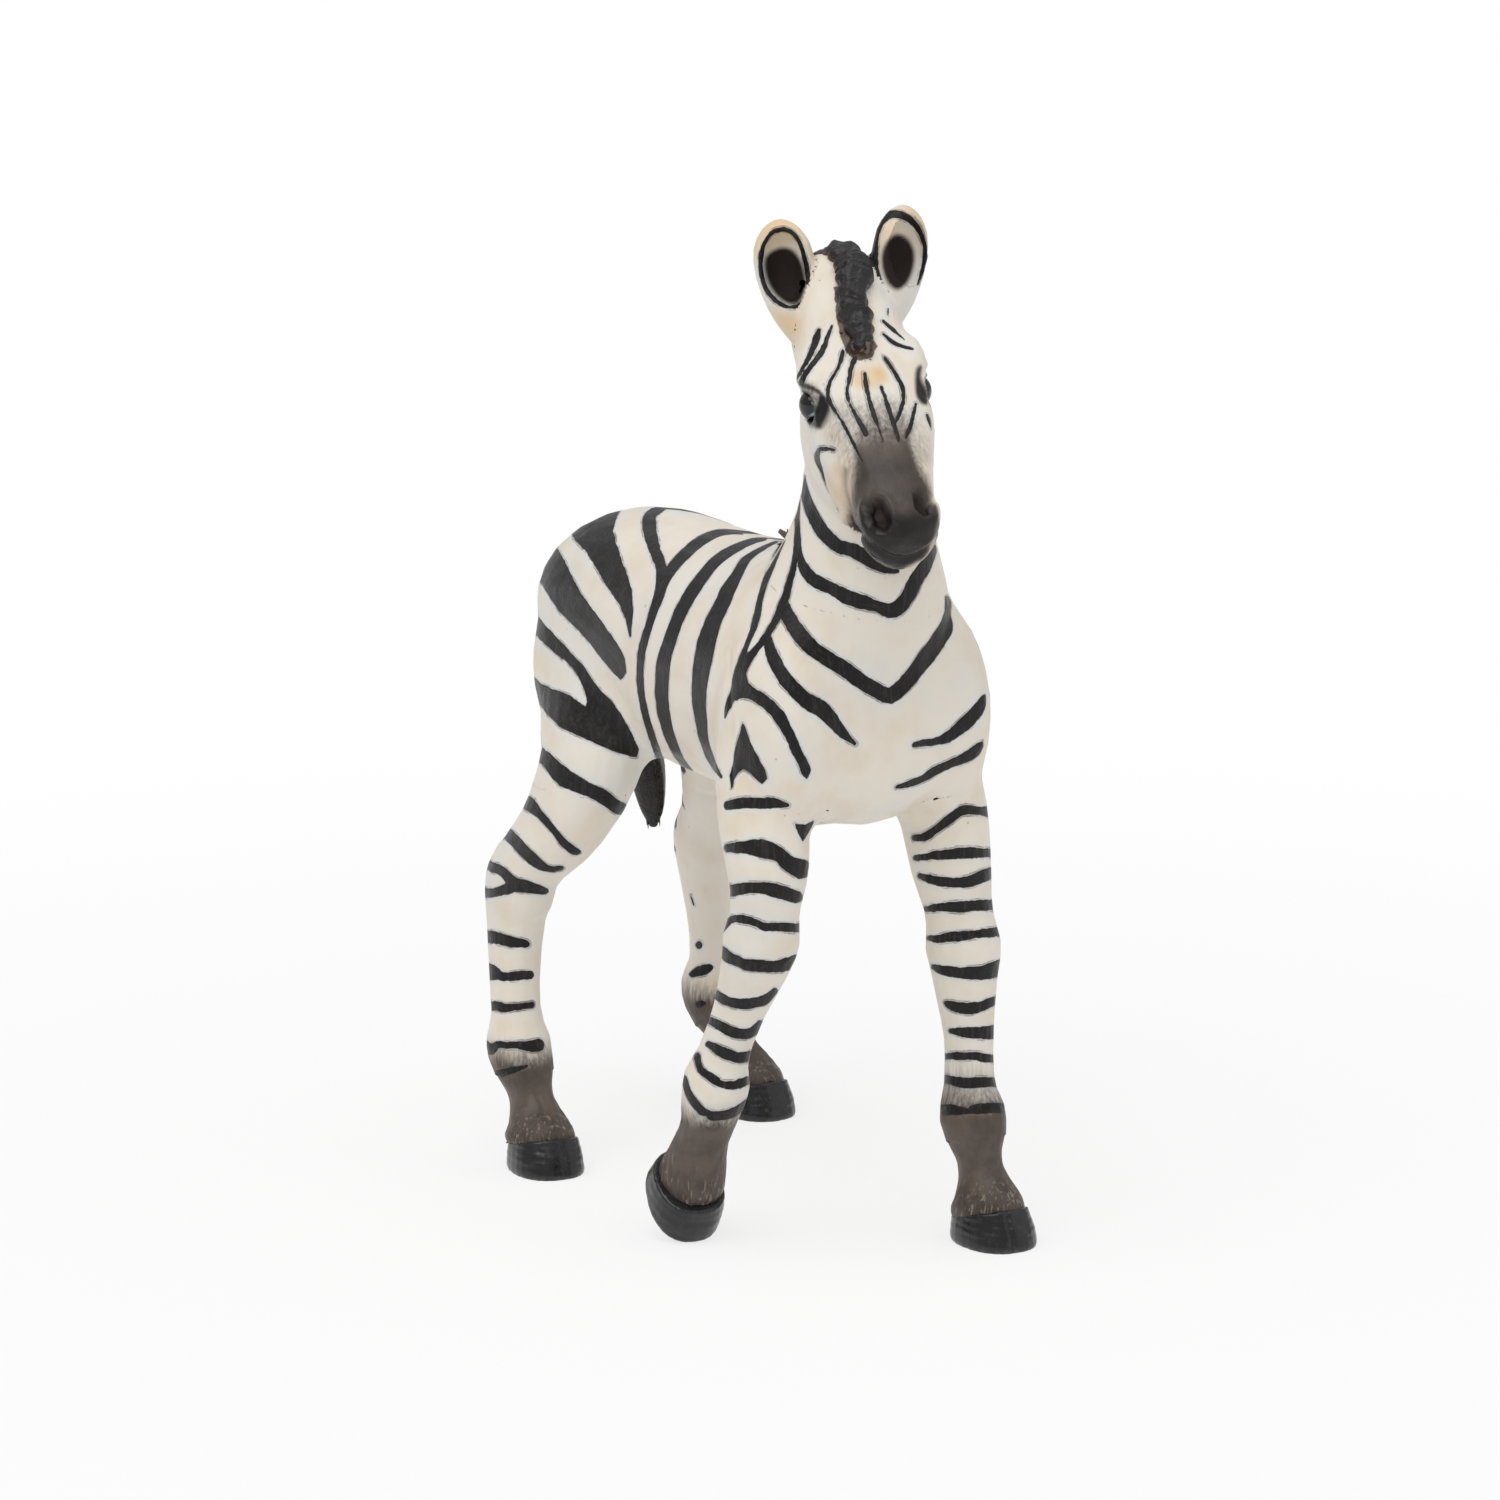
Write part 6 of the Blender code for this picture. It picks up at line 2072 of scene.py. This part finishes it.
@dataclass
class Mane:
    """The upright mane and its forelock: a grooved ridge with short locks on its crest."""

    voxel: float = 0.14
    smoothing: int = 10
    groove: float = 0.21
    lift: float = 0.1
    crest: Marks = (
        (-3.02, -22.93, 73.5), (-1.94, -20.33, 76.95), (-0.76, -17.21, 79.7),
        (-0.27, -13.57, 79.5), (-0.08, -10.97, 75.2), (0.02, -10.45, 69.5),
        (0.12, -10.19, 63.8), (0.02, -8.63, 59.3), (-0.08, -5.77, 56.5),
    )
    crest_steps: int = 8
    rows: tuple[float, ...] = (-0.7, 0.0, 0.7)
    tip_share: float = 0.3
    tip_length: float = 3.0
    sway: float = 0.3
    forelock: int = 20
    fall: float = 0.7
    fall_steps: tuple[float, float] = (15.0, 3.0)
    ending_steps: tuple[float, float] = (6.0, 14.0)
    least_ending: float = 0.35
    root_depth: tuple[float, float] = (0.9, 0.1)
    above: float = 6.0
    locks: LockSizes = LockSizes(length=1.9, radius=0.25, spacing=0.46, spread=0.6, lean=0.45)

    def build(self, material: bpy.types.Material) -> None:
        """Make the mane.

        Args:
            material: the mane's finish.
        """
        shape = solid_copy("mane", self.lift)
        tree = BVHTree.FromBMesh(shape)
        shape.free()
        path = flowing(self.crest, self.crest_steps)
        web = self._ridge(path)
        skin = BVHTree.FromBMesh(solid_copy("head_and_neck", 0.0))
        depth = np.array([skin.find_nearest(Vector(point))[3] for point in web.points])
        paints = {"root": smooth_step(depth, *self.root_depth), "pale": np.zeros(len(web.points))}
        lines = [self._guide(path, tree, offset) for offset in self.rows]
        guides = [np.array(line) for line in lines if len(line) > 2]
        locks = HairLocks(self.locks).grow("mane", guides, material)
        joined_hair("mane", web, paints, locks, material)

    def _ridge(self, path: np.ndarray) -> Web:
        """The ridge that carries the locks, narrow at the forelock and low at the withers."""
        web = smooth_web("mane", self.lift, self.voxel, self.smoothing)
        gaps = np.linalg.norm(web.points[:, None, :] - path[None, ::2, :], axis=2)
        nearest = np.minimum(np.argmin(gaps, axis=1) * 2, len(path) - 2)
        ahead = path[nearest + 1] - path[nearest]
        ahead /= np.linalg.norm(ahead, axis=1, keepdims=True)
        along = nearest * 0.5 + ((web.points - path[nearest]) * ahead).sum(axis=1)
        past_tip = np.clip((along + 0.4) / self.tip_length, 0.0, 1.0)
        narrow = self.tip_share + (1.0 - self.tip_share) * np.sqrt(1.0 - (1.0 - past_tip) ** 2)
        counts = np.maximum(np.bincount(nearest, minlength=len(path)), 1)
        middle = (np.bincount(nearest, web.points[:, 0], len(path)) / counts)[nearest]
        sway = self.sway * np.sin(along * 1.1) * smooth_step(along, 9.0, 4.0)
        web.points[:, 0] = middle + (web.points[:, 0] - middle) * narrow + sway
        start, stop = (len(path) - steps for steps in self.fall_steps)
        web.points[:, 2] -= self.fall * smooth_step(nearest, start, stop)
        waves = np.sin(along * 4.5 + ripple(web.points, 0.25, 2) * 2.6) * 0.5
        waves = waves + ripple(web.points, 0.4, 9) * 0.9
        web.points = web.points + (self.groove * waves)[:, None] * web.normals()
        return web

    def _guide(self, path: np.ndarray, tree: BVHTree, offset: float) -> list[tuple[float, ...]]:
        """One line of places and directions for locks, beside the middle of the crest.

        Args:
            path: the crest.
            tree: the solid that the locks stand on.
            offset: how far aside the line runs.

        Returns:
            Rows of a place and the way the hair stands there.
        """
        rows = []
        aside = Vector((1.0, 0.0, 0.0))
        for index, place in enumerate(path[:-1]):
            way = Vector(path[index + 1] - place)
            out = Vector((0.0, way.z, -way.y)).normalized()
            ending = (len(path) - self.ending_steps[0] - index) / self.ending_steps[1]
            ending = min(1.0, max(0.0, ending))
            narrow = min(1.0, 0.3 + index / 10.0, 0.2 + ending)
            origin = Vector(place) + out * self.above + aside * offset * narrow
            hit = tree.ray_cast(origin, -out, 2.0 * self.above)[0]
            if hit is None or ending <= self.least_ending:
                continue
            flow = max(0.0, 1.0 - index / self.forelock)
            stand = out * (1.0 - 0.5 * flow) + aside * offset * 0.5
            stand = stand - way.normalized() * (0.25 + flow)
            rows.append((*(hit - out * (2.1 - 1.75 * ending)), *stand))
        return rows


@dataclass
class Tail:
    """The tail: a banded dock above a dark tuft of long locks."""

    voxel: float = 0.14
    smoothing: int = 12
    groove: float = 0.12
    line: Marks = (
        (-0.08, 28.03, 51.6), (0.32, 30.37, 50.2), (1.49, 32.40, 45.6), (3.65, 32.82, 39.9),
        (5.61, 32.71, 34.8), (6.39, 32.51, 30.5), (6.78, 32.30, 27.1), (6.88, 32.19, 25.1),
    )
    line_steps: int = 6
    tuft_height: float = 36.0
    band_spacing: float = 2.3
    turns: int = 9
    core: float = 0.55
    locks: LockSizes = LockSizes(
        length=2.0, radius=0.2, spacing=0.8, spread=0.08, lean=0.05, seed=7,
    )

    def build(self, hair: bpy.types.Material) -> None:
        """Make the tail.

        Args:
            hair: the tail's finish, which pales where the dock is bare.
        """
        web = smooth_web("tail", 0.0, self.voxel, self.smoothing)
        low = smooth_step(web.points[:, 2], self.tuft_height + 4.0, self.tuft_height - 3.0)
        around = ripple(web.points * np.array((1.0, 1.0, 0.15)), 0.6, 21)
        web.points = web.points + (self.groove * low * around)[:, None] * web.normals()
        locks = HairLocks(self.locks).grow("tail", self._guides(), hair)
        height = web.points[:, 2]
        slant = height + web.points[:, 1] * 0.3
        bands = np.sin(slant / self.band_spacing * math.tau + around * 0.5)
        dock = smooth_step(height + around * 0.6, self.tuft_height + 1.5, self.tuft_height + 3.5)
        paints = {"root": np.zeros(len(height)), "pale": dock * smooth_step(bands, -0.45, -0.2)}
        joined_hair("tail", web, paints, locks, hair)

    def _guides(self) -> list[np.ndarray]:
        """Lines for locks round the tuft, each row a place and the way the hair lies."""
        path = flowing(self.line, self.line_steps)
        guides = []
        for turn in np.arange(0.0, math.tau, math.tau / self.turns):
            rows = []
            for index, place in enumerate(path[:-6]):
                if place[2] > self.tuft_height:
                    continue
                way = Vector(path[index + 1] - place).normalized()
                out = Matrix.Rotation(turn, 3, way) @ way.orthogonal().normalized()
                rows.append((*(Vector(place) + out * self.core), *(way + out * 0.02)))
            guides.append(np.array(rows))
        return guides


@dataclass(frozen=True)
class Lamp:
    """A soft lamp: the way it shines from, its strength, size and colour."""

    name: str
    azimuth: float
    elevation: float
    power: float
    size: float
    distance: float = 0.8
    aim_height: float = 0.045
    colour: tuple[float, float, float] = (1.0, 1.0, 1.0)

    def build(self) -> None:
        """Hang the lamp and aim it at the figure."""
        data = bpy.data.lights.new(self.name, "AREA")
        data.energy = self.power
        data.size = self.size
        data.color = self.colour
        item = bpy.data.objects.new(self.name, data)
        back = Vector(compass(math.radians(self.azimuth), math.radians(self.elevation)))
        item.location = Vector((0.0, 0.0, self.aim_height)) + back * self.distance
        item.rotation_euler = back.to_track_quat("Z", "Y").to_euler()
        bpy.context.scene.collection.objects.link(item)


@dataclass
class Studio:
    """A pale floor, a white surround and soft lamps."""

    floor_half: float = 6.0
    ambient: float = 0.5
    floor_glow: float = 0.74
    near_radius: float = 0.04
    far_radius: float = 0.22
    lamps: tuple[Lamp, ...] = (
        Lamp("key", -62.0, 58.0, 2.6, 0.7),
        Lamp("top", 10.0, 84.0, 1.2, 0.8),
        Lamp("fill", 48.0, 30.0, 0.7, 0.9),
    )

    def build(self) -> None:
        """Set up everything round the figure."""
        self._world()
        self._floor()
        for lamp in self.lamps:
            lamp.build()
        bpy.context.scene.view_settings.view_transform = "Standard"

    def _world(self) -> None:
        """White to the camera and in reflections, softer as light."""
        world = bpy.data.worlds.new("white_room")
        world.use_nodes = True
        tree = world.node_tree
        tree.nodes.clear()
        rays = tree.nodes.new("ShaderNodeLightPath")
        lift = tree.nodes.new("ShaderNodeMath")
        lift.operation = "MULTIPLY_ADD"
        tree.links.new(rays.outputs["Is Camera Ray"], lift.inputs[0])
        lift.inputs[1].default_value = 1.0 - self.ambient
        lift.inputs[2].default_value = self.ambient
        glow = tree.nodes.new("ShaderNodeBackground")
        glow.inputs["Color"].default_value = (1.0, 1.0, 1.0, 1.0)
        tree.links.new(lift.outputs[0], glow.inputs["Strength"])
        leave = tree.nodes.new("ShaderNodeOutputWorld")
        tree.links.new(glow.outputs[0], leave.inputs[0])
        bpy.context.scene.world = world

    def _floor(self) -> None:
        """A white floor that keeps the figure's shadow."""
        bench = Bench("studio_floor")
        rays = bench.tree.nodes.new("ShaderNodeLightPath")
        kinds = ("Camera", "Glossy", "Transmission")
        seen = [Wire(bench, rays.outputs[f"Is {kind} Ray"]) for kind in kinds]
        centre = {0: bench.places()}
        away = bench.add("ShaderNodeVectorMath", {"operation": "LENGTH"}, centre, "Value")
        far = away.ease(self.near_radius, self.far_radius)
        glow_share = self.floor_glow + far * (1.0 - self.floor_glow)
        share = seen[0].most(seen[1]).most(seen[2]) * glow_share
        paper = bench.add("ShaderNodeBsdfDiffuse", {}, {"Color": paint_colour(248, 248, 248)})
        glow = bench.add("ShaderNodeEmission", {}, {"Color": (1.0, 1.0, 1.0, 1.0), "Strength": 1.0})
        mixed = bench.add("ShaderNodeMixShader", {}, {0: share, 1: paper, 2: glow})
        bench.add("ShaderNodeOutputMaterial", {}, {"Surface": mixed})
        turns = ((-1.0, -1.0), (1.0, -1.0), (1.0, 1.0), (-1.0, 1.0))
        corners = [(x * self.floor_half, y * self.floor_half, 0.0) for x, y in turns]
        mesh = bpy.data.meshes.new("studio_floor")
        mesh.from_pydata(corners, [], [(0, 1, 2, 3)])
        mesh.materials.append(bench.material)
        item = bpy.data.objects.new("studio_floor", mesh)
        bpy.context.scene.collection.objects.link(item)


def main() -> None:
    """Build the foal's pieces in order, then the studio round it."""
    logging.basicConfig(level=logging.INFO, format="%(message)s")
    coat, hoof = CoatFinish().build(), HoofFinish().build()
    mane, eye = ManeFinish().build(), EyeFinish().build()
    FoalSkin().build(coat)
    BellyPad().build(coat)
    Hooves().build(hoof)
    Eyes().build(eye)
    Mane().build(mane)
    Tail().build(mane)
    PHOTO.build()
    Studio().build()


if __name__ == "__main__":
    main()
